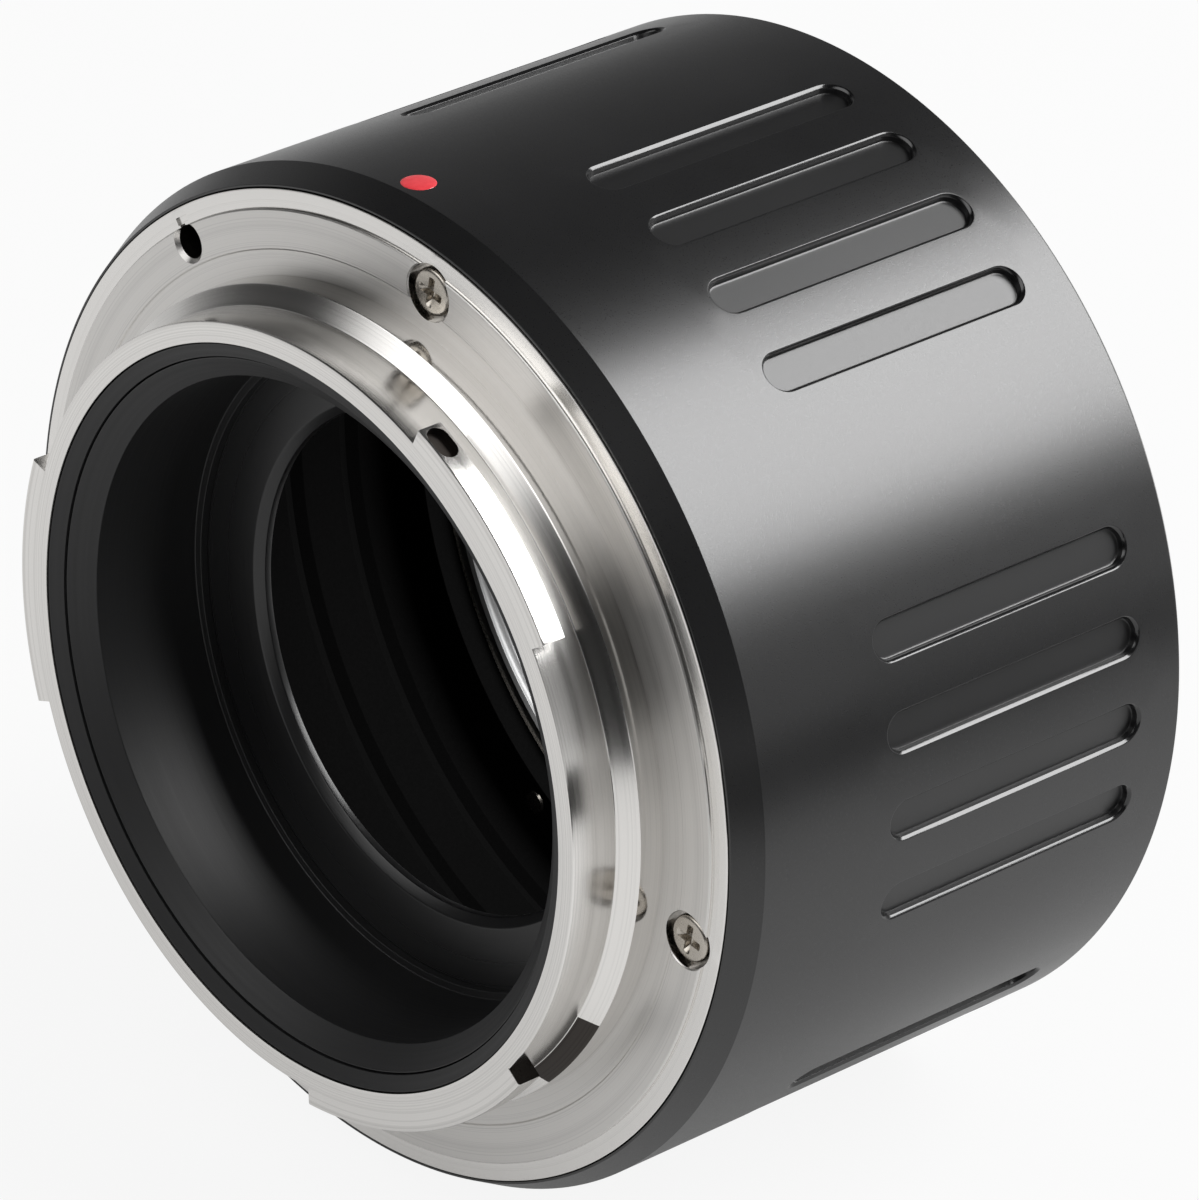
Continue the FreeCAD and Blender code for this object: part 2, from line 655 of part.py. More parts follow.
def baffle_tube():
    """The black tube that forms the throat: a funnel lip at the front, a seat for the light stop
    inside, and a flange that is screwed to the rear of the web."""
    body = new_body("baffle_tube")
    lip = f"({RIM_FRONT} + tube_recess)"
    tail = f"({WEB_REAR} + tube_tail)"
    turned(body, "Tube", [
        (lip, TUBE_OUTER),
        (f"{lip} + tube_lip", TUBE_BORE),
        ("stop_lip_place", TUBE_BORE),
        ("stop_lip_place", STOP_LIP),
        (STOP_SEAT, STOP_LIP),
        (STOP_SEAT, STOP_SEAT_RADIUS),
        (tail, STOP_SEAT_RADIUS),
        (tail, TAIL),
        (TUBE_FLANGE_REAR, TAIL),
        (TUBE_FLANGE_REAR, TUBE_FLANGE),
        (WEB_REAR, TUBE_FLANGE),
        (WEB_REAR, TUBE_OUTER),
    ])
    screw = face_sketch(body, "ScrewPlace", WEB_REAR, "baffle_screw_angle")
    circle(screw, BAFFLE_SCREW_CIRCLE, "baffle_screw_radius + screw_gap")
    hole = pocket(body, "ScrewHole", screw)
    repeated(body, "ScrewHoles", [hole], "baffle_screw_count")
    return body


def light_stop():
    """The black disc with the round aperture, dished at the front and bevelled at the edge."""
    body = new_body("light_stop")
    outer = f"{STOP_SEAT_RADIUS} - fit_gap"
    cone = f"({STOP_SEAT} + stop_cone_depth)"
    bevel = f"({STOP_SEAT} + stop_cone_depth + stop_bevel_depth)"
    turned(body, "Disc", [
        (STOP_SEAT, outer),
        (STOP_SEAT, STOP_LIP),
        (cone, f"{APERTURE} + stop_bevel_width"),
        (bevel, APERTURE),
        (f"{bevel} + aperture_land", APERTURE),
        (f"{bevel} + aperture_land", STOP_BOSS),
        (RETAINER_SEAT, STOP_BOSS),
        (RETAINER_SEAT, outer),
    ])
    return body


def stop_retaining_ring():
    """The threaded ring that holds the light stop, with two notches for a spanner."""
    body = new_body("stop_retaining_ring")
    outer = f"{STOP_SEAT_RADIUS} - fit_gap"
    rear = f"({RETAINER_SEAT} + retainer_length)"
    turned(body, "Ring", [
        (RETAINER_SEAT, RETAINER_INNER),
        (RETAINER_SEAT, outer),
        (rear, outer),
        (rear, RETAINER_INNER),
    ])
    notch = face_sketch(body, "NotchPlace", rear)
    outline(notch, [
        ("-retainer_notch_width / 2", f"{RETAINER_INNER} - fit_gap"),
        ("retainer_notch_width / 2", f"{RETAINER_INNER} - fit_gap"),
        ("retainer_notch_width / 2", f"{STOP_SEAT_RADIUS} + fit_gap"),
        ("-retainer_notch_width / 2", f"{STOP_SEAT_RADIUS} + fit_gap"),
    ])
    cut = pocket(body, "Notch", notch, "retainer_notch_depth", from_rear=True)
    repeated(body, "Notches", [cut], "2")
    return body


def coupling_shim():
    """A thin ring that sets where the lens's thread comes tight, and so how level its squeeze
    axis lies."""
    body = new_body("coupling_shim")
    turned(body, "Ring", [
        (REAR_SEAT, REAR_WEB),
        (REAR_SEAT, COUPLING),
        (COUPLING_FRONT, COUPLING),
        (COUPLING_FRONT, REAR_WEB),
    ])
    screw = face_sketch(body, "ScrewPlace", REAR_SEAT, "coupling_screw_angle")
    circle(screw, COUPLING_SCREW_CIRCLE, "coupling_screw_radius + screw_gap")
    hole = pocket(body, "ScrewHole", screw)
    repeated(body, "ScrewHoles", [hole], "coupling_screw_count")
    return body


def coupling_ring():
    """The bare metal ring at the lens end, bored for the lens's thread, with a relief at its
    mouth and four deep counterbores for its screws."""
    body = new_body("coupling_ring")
    turned(body, "Ring", [
        (f"{COUPLING_FRONT} + thread_lead", THREAD),
        (COUPLING_FRONT, f"{THREAD} + thread_lead"),
        (COUPLING_FRONT, COUPLING),
        (f"{BARREL_REAR} - edge_break", COUPLING),
        (BARREL_REAR, f"{COUPLING} - edge_break"),
        (BARREL_REAR, f"{THREAD} + thread_relief_step"),
        (f"{BARREL_REAR} - thread_relief_depth", f"{THREAD} + thread_relief_step"),
        (f"{BARREL_REAR} - thread_relief_depth", THREAD),
    ])
    screw = face_sketch(body, "ScrewPlace", BARREL_REAR, "coupling_screw_angle")
    circle(screw, COUPLING_SCREW_CIRCLE, "coupling_screw_radius + screw_gap")
    counterbore = ("Counterbore", "coupling_head_radius + coupling_head_clearance",
                   "coupling_length - coupling_head_floor")
    radius = "coupling_screw_radius + screw_gap"
    hole = drilled(body, "ScrewHole", screw, radius, None, counterbore, from_rear=True)
    repeated(body, "ScrewHoles", [hole], "coupling_screw_count")
    return body


bayonet_mount()
flange_shim("flange_shim_thick", "flange_thickness", "thick_shim")
flange_shim("flange_shim_thin", "(flange_thickness + thick_shim)", "thin_shim")
screw_group("flange_screws", HEAD_SEAT, "flange_screw_angle", FLANGE_SCREW_CIRCLE,
            "flange_screw_count",
            ("flange_screw_radius", "flange_screw_length", "flange_head_radius", "flange_head_height"))
mount_dowel()
barrel()
index_mark()
mouth_baffle()
baffle_tube()
screw_group("baffle_screws", TUBE_FLANGE_REAR, "baffle_screw_angle", BAFFLE_SCREW_CIRCLE,
            "baffle_screw_count",
            ("baffle_screw_radius", "baffle_screw_length", "baffle_head_radius", "baffle_head_height"),
            facing_rear=True)
light_stop()
stop_retaining_ring()
coupling_shim()
coupling_ring()
screw_group("coupling_screws", COUPLING_HEAD_SEAT, "coupling_screw_angle", COUPLING_SCREW_CIRCLE,
            "coupling_screw_count",
            ("coupling_screw_radius",
             f"({COUPLING_HEAD_SEAT} - {REAR_WEB_FRONT} + coupling_screw_tip)",
             "coupling_head_radius", "coupling_head_height"),
            facing_rear=True)
doc.recompute()

# Every feature must have been built, and every cut must have taken something away.
for item in doc.Objects:
    if "Invalid" in item.State or "Error" in item.State:
        raise RuntimeError(f"{item.Label} failed: {item.State}")
    if item.TypeId in ("PartDesign::Pocket", "PartDesign::Groove", "PartDesign::Hole"):
        if item.Shape.Volume >= item.BaseFeature.Shape.Volume:
            raise RuntimeError(f"{item.Label} cuts nothing")

bodies = [item for item in doc.Objects if item.TypeId == "PartDesign::Body"]
for body in bodies:
    if body.Shape.isNull() or not body.Shape.isValid():
        raise RuntimeError(f"{body.Label} has no valid shape")

os.makedirs("parts", exist_ok=True)
for body in bodies:
    body.Shape.exportStep(os.path.join("parts", body.Label + ".step"))
    print(f"{body.Label}: {len(body.Shape.Solids)} solid(s), {body.Shape.Volume:.1f} mm3")
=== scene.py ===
import math

import bmesh
import bpy
from mathutils import Matrix, Vector


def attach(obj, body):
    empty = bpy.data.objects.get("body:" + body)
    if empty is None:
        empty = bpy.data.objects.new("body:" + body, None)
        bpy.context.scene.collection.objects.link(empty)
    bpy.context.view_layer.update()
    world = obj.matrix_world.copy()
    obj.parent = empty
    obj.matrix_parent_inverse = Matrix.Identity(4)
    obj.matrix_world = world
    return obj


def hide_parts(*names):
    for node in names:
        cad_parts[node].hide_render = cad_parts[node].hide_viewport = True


# The rear mount tube of an anamorphic cinema lens. The optical axis is Y, the camera is on the -Y
# side and the lens on the +Y side. Sections are in millimetres from the seat that meets the
# camera. Clock angles are in degrees, clockwise from the index mark as the camera sees the tube.
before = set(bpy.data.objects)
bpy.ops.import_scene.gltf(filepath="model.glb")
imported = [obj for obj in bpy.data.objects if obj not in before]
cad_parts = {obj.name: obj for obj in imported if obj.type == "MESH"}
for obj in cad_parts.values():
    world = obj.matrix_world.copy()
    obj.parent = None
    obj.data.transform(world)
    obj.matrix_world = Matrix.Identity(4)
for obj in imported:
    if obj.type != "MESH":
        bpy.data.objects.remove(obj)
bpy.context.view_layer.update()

# Barrel
# The black tube between the camera and the lens, turned from aluminium, with 24 finger slots
# milled square into its wall in six groups of four. It is glass-bead blasted and then anodised
# black, which leaves a satin skin with a broad soft highlight and very fine grain.
BARREL_RADIUS = 33.7
BORE_RADIUS = 31.2
GROOVE_RADIUS = 31.6
BAND_REAR = 2.25
CHAMFER_FRONT = 37.65
REAR_END = 38.15
SLOT_FRONT = 12.85
SLOT_REAR = 34.15
SLOT_HALF_WIDTH = 1.225
SLOT_DEPTH = 0.6
SLOT_CHAMFER = 0.2
GROUPS = 6
SLOTS_IN_GROUP = 4
FIRST_CELL_ANGLE = 5.2
CELL_ANGLE = 10.0
CELL_MARGIN = 1.7
END_STEPS = 4
SIDE_STEPS = 4
CELL_COLUMNS = 2 * END_STEPS
ROUNDING_STEPS = 4
MILLIMETRE = 0.001


def linear(hex_colour):
    """Turn an sRGB hex colour into the linear values that a shader takes."""
    channels = [int(hex_colour[place:place + 2], 16) / 255 for place in (1, 3, 5)]
    return [c / 12.92 if c <= 0.04045 else ((c + 0.055) / 1.055) ** 2.4 for c in channels] + [1.0]


def add(tree, kind, inputs=None, **settings):
    """Add a node, give it its settings, and link or set its inputs."""
    made = tree.nodes.new(kind)
    for name, value in settings.items():
        setattr(made, name, value)
    for socket, value in (inputs or {}).items():
        if isinstance(value, bpy.types.NodeSocket):
            tree.links.new(value, made.inputs[socket])
        else:
            made.inputs[socket].default_value = value
    return made


def new_material(name):
    """A material with nothing but its output, and its tree."""
    material = bpy.data.materials.new(name)
    material.use_nodes = True
    material.node_tree.nodes.clear()
    return material, material.node_tree


def set_stops(ramp, first, last, *between):
    """Give a colour ramp its stops, each a place and a linear colour."""
    for number, (place, colour) in enumerate((first, last)):
        ramp.color_ramp.elements[number].position = place
        ramp.color_ramp.elements[number].color = colour
    for place, colour in between:
        ramp.color_ramp.elements.new(place).color = colour


def blasted_black_anodise(name, rough_low, rough_high):
    """Base colour near black, a dense oxide skin with an IOR of 1.65, and grain of 0.09 mm."""
    material, tree = new_material(name)
    place = add(tree, "ShaderNodeTexCoord").outputs["Object"]
    grain = add(tree, "ShaderNodeTexNoise", {"Vector": place, "Scale": 1 / 0.00009, "Detail": 2.0})
    clouds = add(tree, "ShaderNodeTexNoise", {"Vector": place, "Scale": 1 / 0.009, "Detail": 3.0})
    tone = add(tree, "ShaderNodeValToRGB", {"Fac": clouds.outputs["Fac"]})
    set_stops(tone, (0.35, linear("#0C0C0D")), (0.65, linear("#111112")))
    rough = add(tree, "ShaderNodeMapRange", {
        "Value": grain.outputs["Fac"], "From Min": 0.3, "From Max": 0.7,
        "To Min": rough_low, "To Max": rough_high})
    bump = add(tree, "ShaderNodeBump", {
        "Strength": 0.12, "Distance": 0.00002, "Height": grain.outputs["Fac"]})
    oxide = add(tree, "ShaderNodeBsdfPrincipled", {
        "Base Color": tone.outputs["Color"], "Roughness": rough.outputs["Result"], "IOR": 1.65,
        "Normal": bump.outputs["Normal"]})
    add(tree, "ShaderNodeOutputMaterial", {"Surface": oxide.outputs["BSDF"]})
    return material


def rounded(corners):
    """Round the corners of a section. A corner is its place along the axis, its radius from the
    axis and the size of its rounding."""
    points = []
    for number, (along, out, size) in enumerate(corners):
        here = Vector((along, out))
        before = Vector(corners[number - 1][:2]) - here
        after = Vector(corners[(number + 1) % len(corners)][:2]) - here
        if size == 0:
            points.append((along, out))
            continue
        half = before.angle(after) / 2
        reach = min(size / math.tan(half), 0.45 * before.length, 0.45 * after.length)
        size = reach * math.tan(half)
        inward = (before.normalized() + after.normalized()).normalized()
        middle = here + inward * (size / math.sin(half))
        start = here + before.normalized() * reach - middle
        end = here + after.normalized() * reach - middle
        for step in range(ROUNDING_STEPS + 1):
            point = middle + start.lerp(end, step / ROUNDING_STEPS).normalized() * size
            points.append((point.x, point.y))
    return points


def clock(angle, radius, along):
    """The point at a clock angle, a radius and a place along the axis."""
    turn = math.radians(angle)
    return Vector((radius * math.sin(turn), along, radius * math.cos(turn)))


def directions(angle):
    """The outward and the tangent direction at a clock angle."""
    outward = clock(angle, 1, 0)
    return outward, Vector((outward.z, 0, -outward.x))


def skin_rows(mesh, rows, closed_round=False, closed_across=False):
    """Join rows of points with four-sided faces."""
    made = [[mesh.verts.new(point) for point in row] for row in rows]
    row_count = len(made) if closed_round else len(made) - 1
    for number in range(row_count):
        near, far = made[number], made[(number + 1) % len(made)]
        across = len(near) if closed_across else len(near) - 1
        for place in range(across):
            beside = (place + 1) % len(near)
            mesh.faces.new((near[place], near[beside], far[beside], far[place]))
    return made


def new_object(name, data):
    """Make an object from its mesh, lamp or camera and put it in the scene."""
    made = bpy.data.objects.new(name, data)
    bpy.context.collection.objects.link(made)
    return made


def finish_mesh(name, mesh, *materials, smooth_below=35.0):
    """Weld a mesh drawn in millimetres, turn its faces outwards, and make its object in metres."""
    bmesh.ops.remove_doubles(mesh, verts=mesh.verts, dist=0.0005)
    bmesh.ops.dissolve_degenerate(mesh, edges=mesh.edges, dist=0.0002)
    bmesh.ops.recalc_face_normals(mesh, faces=mesh.faces)
    bmesh.ops.scale(mesh, vec=(MILLIMETRE, MILLIMETRE, MILLIMETRE), verts=mesh.verts)
    data = bpy.data.meshes.new(name)
    mesh.to_mesh(data)
    mesh.free()
    piece = new_object(name, data)
    for material in materials:
        data.materials.append(material)
    shade(piece, smooth_below)
    return piece


def shade(piece, smooth_below=35.0):
    """Shade smoothly across edges that turn by less than an angle."""
    piece.data.polygons.foreach_set("use_smooth", [True] * len(piece.data.polygons))
    piece.data.set_sharp_from_angle(angle=math.radians(smooth_below))


def applied(piece, modifier, name):
    """Take a modifier off a piece and return the mesh that the piece has with it."""
    seen = piece.evaluated_get(bpy.context.evaluated_depsgraph_get())
    data = bpy.data.meshes.new_from_object(seen)
    data.name = name
    piece.modifiers.remove(modifier)
    return data


def weigh_normals(piece):
    """Weight the normals by face area, so that a flat looks flat up to its rounding."""
    modifier = piece.modifiers.new("flats", "WEIGHTED_NORMAL")
    modifier.keep_sharp = True
    piece.data = applied(piece, modifier, piece.name)


def repeat_round_axis():
    """A Geometry Nodes tree that repeats its shape at even steps round the optical axis."""
    tree = bpy.data.node_groups.new("repeat_round_axis", "GeometryNodeTree")
    for name, kind in (("Shape", "Geometry"), ("Count", "Int"), ("Step Angle", "Float"),
                       ("Weld Distance", "Float"), ("Material", "Material")):
        tree.interface.new_socket(name, in_out="INPUT", socket_type="NodeSocket" + kind)
    tree.interface.new_socket("Shape", in_out="OUTPUT", socket_type="NodeSocketGeometry")
    given = add(tree, "NodeGroupInput").outputs
    points = add(tree, "GeometryNodeMeshLine", {
        "Count": given["Count"], "Offset": (0.0, 0.0, 0.0)})
    number = add(tree, "GeometryNodeInputIndex")
    angle = add(tree, "ShaderNodeMath", {
        0: number.outputs["Index"], 1: given["Step Angle"]}, operation="MULTIPLY")
    turn = add(tree, "ShaderNodeCombineXYZ", {"Y": angle.outputs["Value"]})
    copies = add(tree, "GeometryNodeInstanceOnPoints", {
        "Points": points.outputs["Mesh"], "Instance": given["Shape"],
        "Rotation": turn.outputs["Vector"]})
    real = add(tree, "GeometryNodeRealizeInstances", {"Geometry": copies.outputs["Instances"]})
    welded = add(tree, "GeometryNodeMergeByDistance", {
        "Geometry": real.outputs["Geometry"], "Distance": given["Weld Distance"]})
    coated = add(tree, "GeometryNodeSetMaterial", {
        "Geometry": welded.outputs["Geometry"], "Material": given["Material"]})
    add(tree, "NodeGroupOutput", {"Shape": coated.outputs["Geometry"]})
    return tree


REPEAT = repeat_round_axis()


def repeated(name, first, count, material, weld=0.0):
    """Repeat one object round the axis, and leave a plain mesh in its place."""
    modifier = first.modifiers.new("repeat", "NODES")
    modifier.node_group = REPEAT
    values = {"Count": count, "Step Angle": 2 * math.pi / count, "Weld Distance": weld,
              "Material": material}
    for socket in REPEAT.interface.items_tree:
        if socket.in_out == "INPUT" and socket.name in values:
            modifier[socket.identifier] = values[socket.name]
    data = applied(first, modifier, name)
    bpy.data.objects.remove(first)
    piece = new_object(name, data)
    shade(piece)
    return piece


def slot_outline(grow=0.0):
    """The outline of a slot with round ends, grown by a little, as pairs of tangent place and place
    along the axis, and the outline of the cell round it, point for point. The second half of
    either is the first half, turned over."""
    slot, cell = [], []
    half_width, wide = SLOT_HALF_WIDTH + grow, CELL_ANGLE / 2
    turning, edge = SLOT_REAR - SLOT_HALF_WIDTH, SLOT_REAR + CELL_MARGIN
    for step in range(4 * END_STEPS):
        turn = math.pi * step / (4 * END_STEPS)
        slot.append((half_width * math.cos(turn), turning + half_width * math.sin(turn)))
        if step <= END_STEPS:
            cell.append((wide, turning + (edge - turning) * step / END_STEPS))
        elif step <= 3 * END_STEPS:
            cell.append((wide - CELL_ANGLE * (step - END_STEPS) / (2 * END_STEPS), edge))
        else:
            cell.append((-wide, edge - (edge - turning) * (step - 3 * END_STEPS) / END_STEPS))
    for step in range(SIDE_STEPS):
        along = turning + (SLOT_FRONT + SLOT_REAR - 2 * turning) * step / SIDE_STEPS
        slot.append((-half_width, along))
        cell.append((-wide, along))
    for outline in (slot, cell):
        outline += [(-across, SLOT_FRONT + SLOT_REAR - along) for across, along in outline]
    return slot, cell


def finger_slot(mesh, centre_angle):
    """One cell of the wall with its milled slot: a chamfered mouth, a square wall and a flat
    floor."""
    outward, tangent = directions(centre_angle)
    loops = [[clock(centre_angle + angle, BARREL_RADIUS, along)
              for angle, along in slot_outline()[1]]]
    mouth = ((0.7, 0.0), (SLOT_CHAMFER + 0.04, 0.0), (SLOT_CHAMFER, 0.0),
             (SLOT_CHAMFER - 0.02, 0.008), (SLOT_CHAMFER / 2, SLOT_CHAMFER / 2 - 0.02),
             (0.01, SLOT_CHAMFER - 0.02), (0.0, SLOT_CHAMFER))
    for grow, sink in mouth:
        loops.append([outward * (math.sqrt(BARREL_RADIUS ** 2 - across ** 2) - sink)
                      + tangent * across + Vector((0, along, 0))
                      for across, along in slot_outline(grow)[0]])
    floor_edge = ((0.0, SLOT_DEPTH - 0.1), (0.03, SLOT_DEPTH - 0.03), (0.1, SLOT_DEPTH),
                  (0.16, SLOT_DEPTH))
    for shrink, depth in floor_edge:
        loops.append([outward * (BARREL_RADIUS - depth) + tangent * across + Vector((0, along, 0))
                      for across, along in slot_outline(-shrink)[0]])
    made = skin_rows(mesh, loops, closed_across=True)
    mesh.faces.new(made[-1])


def barrel_sector():
    """A sixth of the barrel: four slots and the plain wall beside them."""
    mesh = bmesh.new()
    for number in range(SLOTS_IN_GROUP):
        finger_slot(mesh, FIRST_CELL_ANGLE + CELL_ANGLE * (number + 0.5))
    step = CELL_ANGLE / CELL_COLUMNS
    columns = [FIRST_CELL_ANGLE + step * number for number in range(round(360 / GROUPS / step) + 1)]
    beside_cell = sorted({round(along, 6) for angle, along in slot_outline()[1]
                          if abs(angle) > CELL_ANGLE / 2 - 1e-6})
    wall_front, wall_rear = BAND_REAR + 0.06, CHAMFER_FRONT - 0.15
    plain = columns[SLOTS_IN_GROUP * CELL_COLUMNS:]
    for angles, places in ((columns, (wall_front, beside_cell[0])),
                           (columns, (beside_cell[-1], wall_rear)), (plain, beside_cell)):
        skin_rows(mesh, [[clock(angle, BARREL_RADIUS, along) for angle in angles]
                         for along in places])
    # The section runs from the rear chamfer through the rear web, the four grooves that trap
    # light, the front web and the plate's recess to the band at the front.
    section = [(CHAMFER_FRONT, BARREL_RADIUS, 0.1), (REAR_END, 33.2, 0.06), (REAR_END, 32.2, 0.04),
               (30.8, 32.2, 0), (30.8, 28.5, 0.03), (29.0, 28.5, 0.05), (29.0, BORE_RADIUS, 0.1)]
    for groove in (24.3, 19.4, 14.5, 9.6):
        section += [(groove + 1.6, BORE_RADIUS, 0.04), (groove + 0.8, GROOVE_RADIUS, 0.04),
                    (groove, BORE_RADIUS, 0.04)]
    section += [(6.5, BORE_RADIUS, 0.1), (6.5, 23.35, 0), (2.5, 23.35, 0), (2.5, 32.55, 0),
                (0.35, 32.55, 0.03), (0.35, 32.7, 0.05), (BAND_REAR, BARREL_RADIUS, 0.05)]
    line = [(wall_rear, BARREL_RADIUS)] + rounded(section) + [(wall_front, BARREL_RADIUS)]
    skin_rows(mesh, [[clock(angle, out, along) for angle in columns] for along, out in line])
    return finish_mesh("barrel_sector", mesh)


def outward_faces(piece):
    """Turn every face of a closed mesh outwards."""
    mesh = bmesh.new()
    mesh.from_mesh(piece.data)
    bmesh.ops.recalc_face_normals(mesh, faces=mesh.faces)
    mesh.to_mesh(piece.data)
    mesh.free()


def flat_black_paint():
    """Soot-black matt paint inside the bore, with a stipple of 0.2 mm that kills reflections."""
    material, tree = new_material("flat_black_paint")
    place = add(tree, "ShaderNodeTexCoord").outputs["Object"]
    stipple = add(tree, "ShaderNodeTexNoise", {"Vector": place, "Scale": 1 / 0.0002, "Detail": 3.0})
    bump = add(tree, "ShaderNodeBump", {
        "Strength": 0.5, "Distance": 0.00003, "Height": stipple.outputs["Fac"]})
    rough = add(tree, "ShaderNodeMapRange", {
        "Value": stipple.outputs["Fac"], "From Min": 0.3, "From Max": 0.7,
        "To Min": 0.85, "To Max": 0.95})
    skin = add(tree, "ShaderNodeBsdfPrincipled", {
        "Base Color": linear("#060606"), "Roughness": rough.outputs["Result"], "IOR": 1.15,
        "Normal": bump.outputs["Normal"]})
    add(tree, "ShaderNodeOutputMaterial", {"Surface": skin.outputs["BSDF"]})
    return material


def coat(piece, *materials, choose=None):
    """Give a piece its materials. choose returns a face's place among them."""
    piece.data.materials.clear()
    for material in materials:
        piece.data.materials.append(material)
    for face in piece.data.polygons:
        face.material_index = choose(face) if choose else 0


def barrel_coat(face):
    """Paint inside the bore, a burnished skin on the slots' chamfers, a milled one on their floors,
    and the plain skin elsewhere. The finished mesh, and so every size here, is in metres."""
    plain, paint, burnish, mill = range(4)
    painted_radius, painted_rear = 0.0321, 0.0308
    slots_front, slots_rear, below_chamfer = 0.0125, 0.0345, 0.0334
    out = math.hypot(face.center.x, face.center.z)
    if out < painted_radius and face.center.y < painted_rear:
        return paint
    radial = (face.center.x * face.normal.x + face.center.z * face.normal.z) / out
    if not slots_front < face.center.y < slots_rear:
        return plain
    if out < below_chamfer:
        return mill if radial > 0.9 else plain
    return burnish if 0.5 < radial < 0.9 else plain


skin = blasted_black_anodise("blasted_black_anodised_aluminium", 0.27, 0.33)
burnished = blasted_black_anodise("burnished_black_anodised_aluminium", 0.14, 0.2)
milled = blasted_black_anodise("milled_black_anodised_aluminium", 0.34, 0.4)
barrel = repeated("barrel_wall", barrel_sector(), GROUPS, skin, weld=0.000001)
outward_faces(barrel)
shade(barrel)
weigh_normals(barrel)
coat(barrel, skin, flat_black_paint(), burnished, milled, choose=barrel_coat)
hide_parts("barrel")
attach(barrel, "root")

# Index mark
# A bead of red enamel pressed into a dimple behind the band. It shows how to turn the tube into
# the camera. The enamel is smooth and a little domed.
MARK_RADIUS = 1.15
MARK_PLACE = 3.85
MARK_FOOT = 32.92
MARK_EDGE = 33.66
MARK_DOME = 0.15
MARK_SIDES = 48
MARK_RINGS = 8
enamel, tree = new_material("red_enamel")
place = add(tree, "ShaderNodeTexCoord").outputs["Object"]
speck = add(tree, "ShaderNodeTexNoise", {"Vector": place, "Scale": 1 / 0.0004, "Detail": 2.0})
tone = add(tree, "ShaderNodeValToRGB", {"Fac": speck.outputs["Fac"]})
set_stops(tone, (0.0, linear("#C92A33")), (1.0, linear("#E0454C")))
paint = add(tree, "ShaderNodeBsdfPrincipled", {
    "Base Color": tone.outputs["Color"], "Roughness": 0.3, "IOR": 1.5, "Coat Weight": 0.4,
    "Coat Roughness": 0.1})
add(tree, "ShaderNodeOutputMaterial", {"Surface": paint.outputs["BSDF"]})


def round_points(count):
    """The points of a circle, as pairs of cosine and sine."""
    turns = [2 * math.pi * number / count for number in range(count)]
    return [(math.cos(turn), math.sin(turn)) for turn in turns]


def close_to_point(mesh, ring, point):
    """Close a ring of corners with triangles that meet in one point."""
    tip = mesh.verts.new(point)
    for number, corner in enumerate(ring):
        mesh.faces.new((corner, ring[(number + 1) % len(ring)], tip))


bead = bmesh.new()
rings = [(MARK_RADIUS - 0.05, MARK_FOOT), (MARK_RADIUS, MARK_FOOT + 0.05), (MARK_RADIUS, MARK_EDGE)]
for step in range(1, MARK_RINGS):
    swing = math.pi / 2 * step / MARK_RINGS
    rings.append((MARK_RADIUS * math.cos(swing), MARK_EDGE + MARK_DOME * math.sin(swing)))
made = skin_rows(bead, [[(radius * c, MARK_PLACE + radius * s, height)
                         for c, s in round_points(MARK_SIDES)] for radius, height in rings],
                 closed_across=True)
bead.faces.new(made[0])
close_to_point(bead, made[-1], (0, MARK_PLACE, MARK_EDGE + MARK_DOME))
mark = finish_mesh("red_bead", bead, enamel)
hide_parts("index_mark")
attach(mark, "root")

# Baffle tube
# The black throat of the tube, turned from aluminium and anodised matt black so that it throws
# back little light. Its flange is screwed to the rear of the barrel's web. The tool leaves fine
# rings round the axis.
RING_COLUMNS = 240


def axis_section(tree, place):
    """Every point's distance from the optical axis and its place along it, as a vector."""
    parts = add(tree, "ShaderNodeSeparateXYZ", {"Vector": place}).outputs
    flat = add(tree, "ShaderNodeCombineXYZ", {"X": parts["X"], "Y": parts["Z"]})
    out = add(tree, "ShaderNodeVectorMath", {0: flat.outputs["Vector"]}, operation="LENGTH")
    section = add(tree, "ShaderNodeCombineXYZ", {"X": out.outputs["Value"], "Y": parts["Y"]})
    return section.outputs["Vector"]


def turned_black_anodise(name, rough_low, rough_high):
    """Near-black oxide, with turning rings 0.25 mm apart drawn coarse enough to show."""
    material, tree = new_material(name)
    place = add(tree, "ShaderNodeTexCoord").outputs["Object"]
    rings = add(tree, "ShaderNodeTexNoise", {
        "Vector": axis_section(tree, place), "Scale": 1 / 0.00025, "Detail": 2.0})
    grain = add(tree, "ShaderNodeTexNoise", {"Vector": place, "Scale": 1 / 0.0001, "Detail": 1.0})
    rough = add(tree, "ShaderNodeMapRange", {
        "Value": rings.outputs["Fac"], "From Min": 0.3, "From Max": 0.7,
        "To Min": rough_low, "To Max": rough_high})
    both = add(tree, "ShaderNodeMath", {
        0: rings.outputs["Fac"], 1: grain.outputs["Fac"]}, operation="ADD")
    bump = add(tree, "ShaderNodeBump", {
        "Strength": 0.25, "Distance": 0.00001, "Height": both.outputs["Value"]})
    skin = add(tree, "ShaderNodeBsdfPrincipled", {
        "Base Color": linear("#151516"), "Roughness": rough.outputs["Result"], "IOR": 1.55,
        "Normal": bump.outputs["Normal"]})
    add(tree, "ShaderNodeOutputMaterial", {"Surface": skin.outputs["BSDF"]})
    return material


def turned_ring(name, corners, material):
    """A ring turned about the optical axis from a closed section with rounded corners."""
    mesh = bmesh.new()
    line = rounded(corners)
    skin_rows(mesh, [[clock(360 * number / RING_COLUMNS, out, along) for along, out in line]
                     for number in range(RING_COLUMNS)], closed_round=True, closed_across=True)
    ring = finish_mesh(name, mesh, material)
    weigh_normals(ring)
    return ring


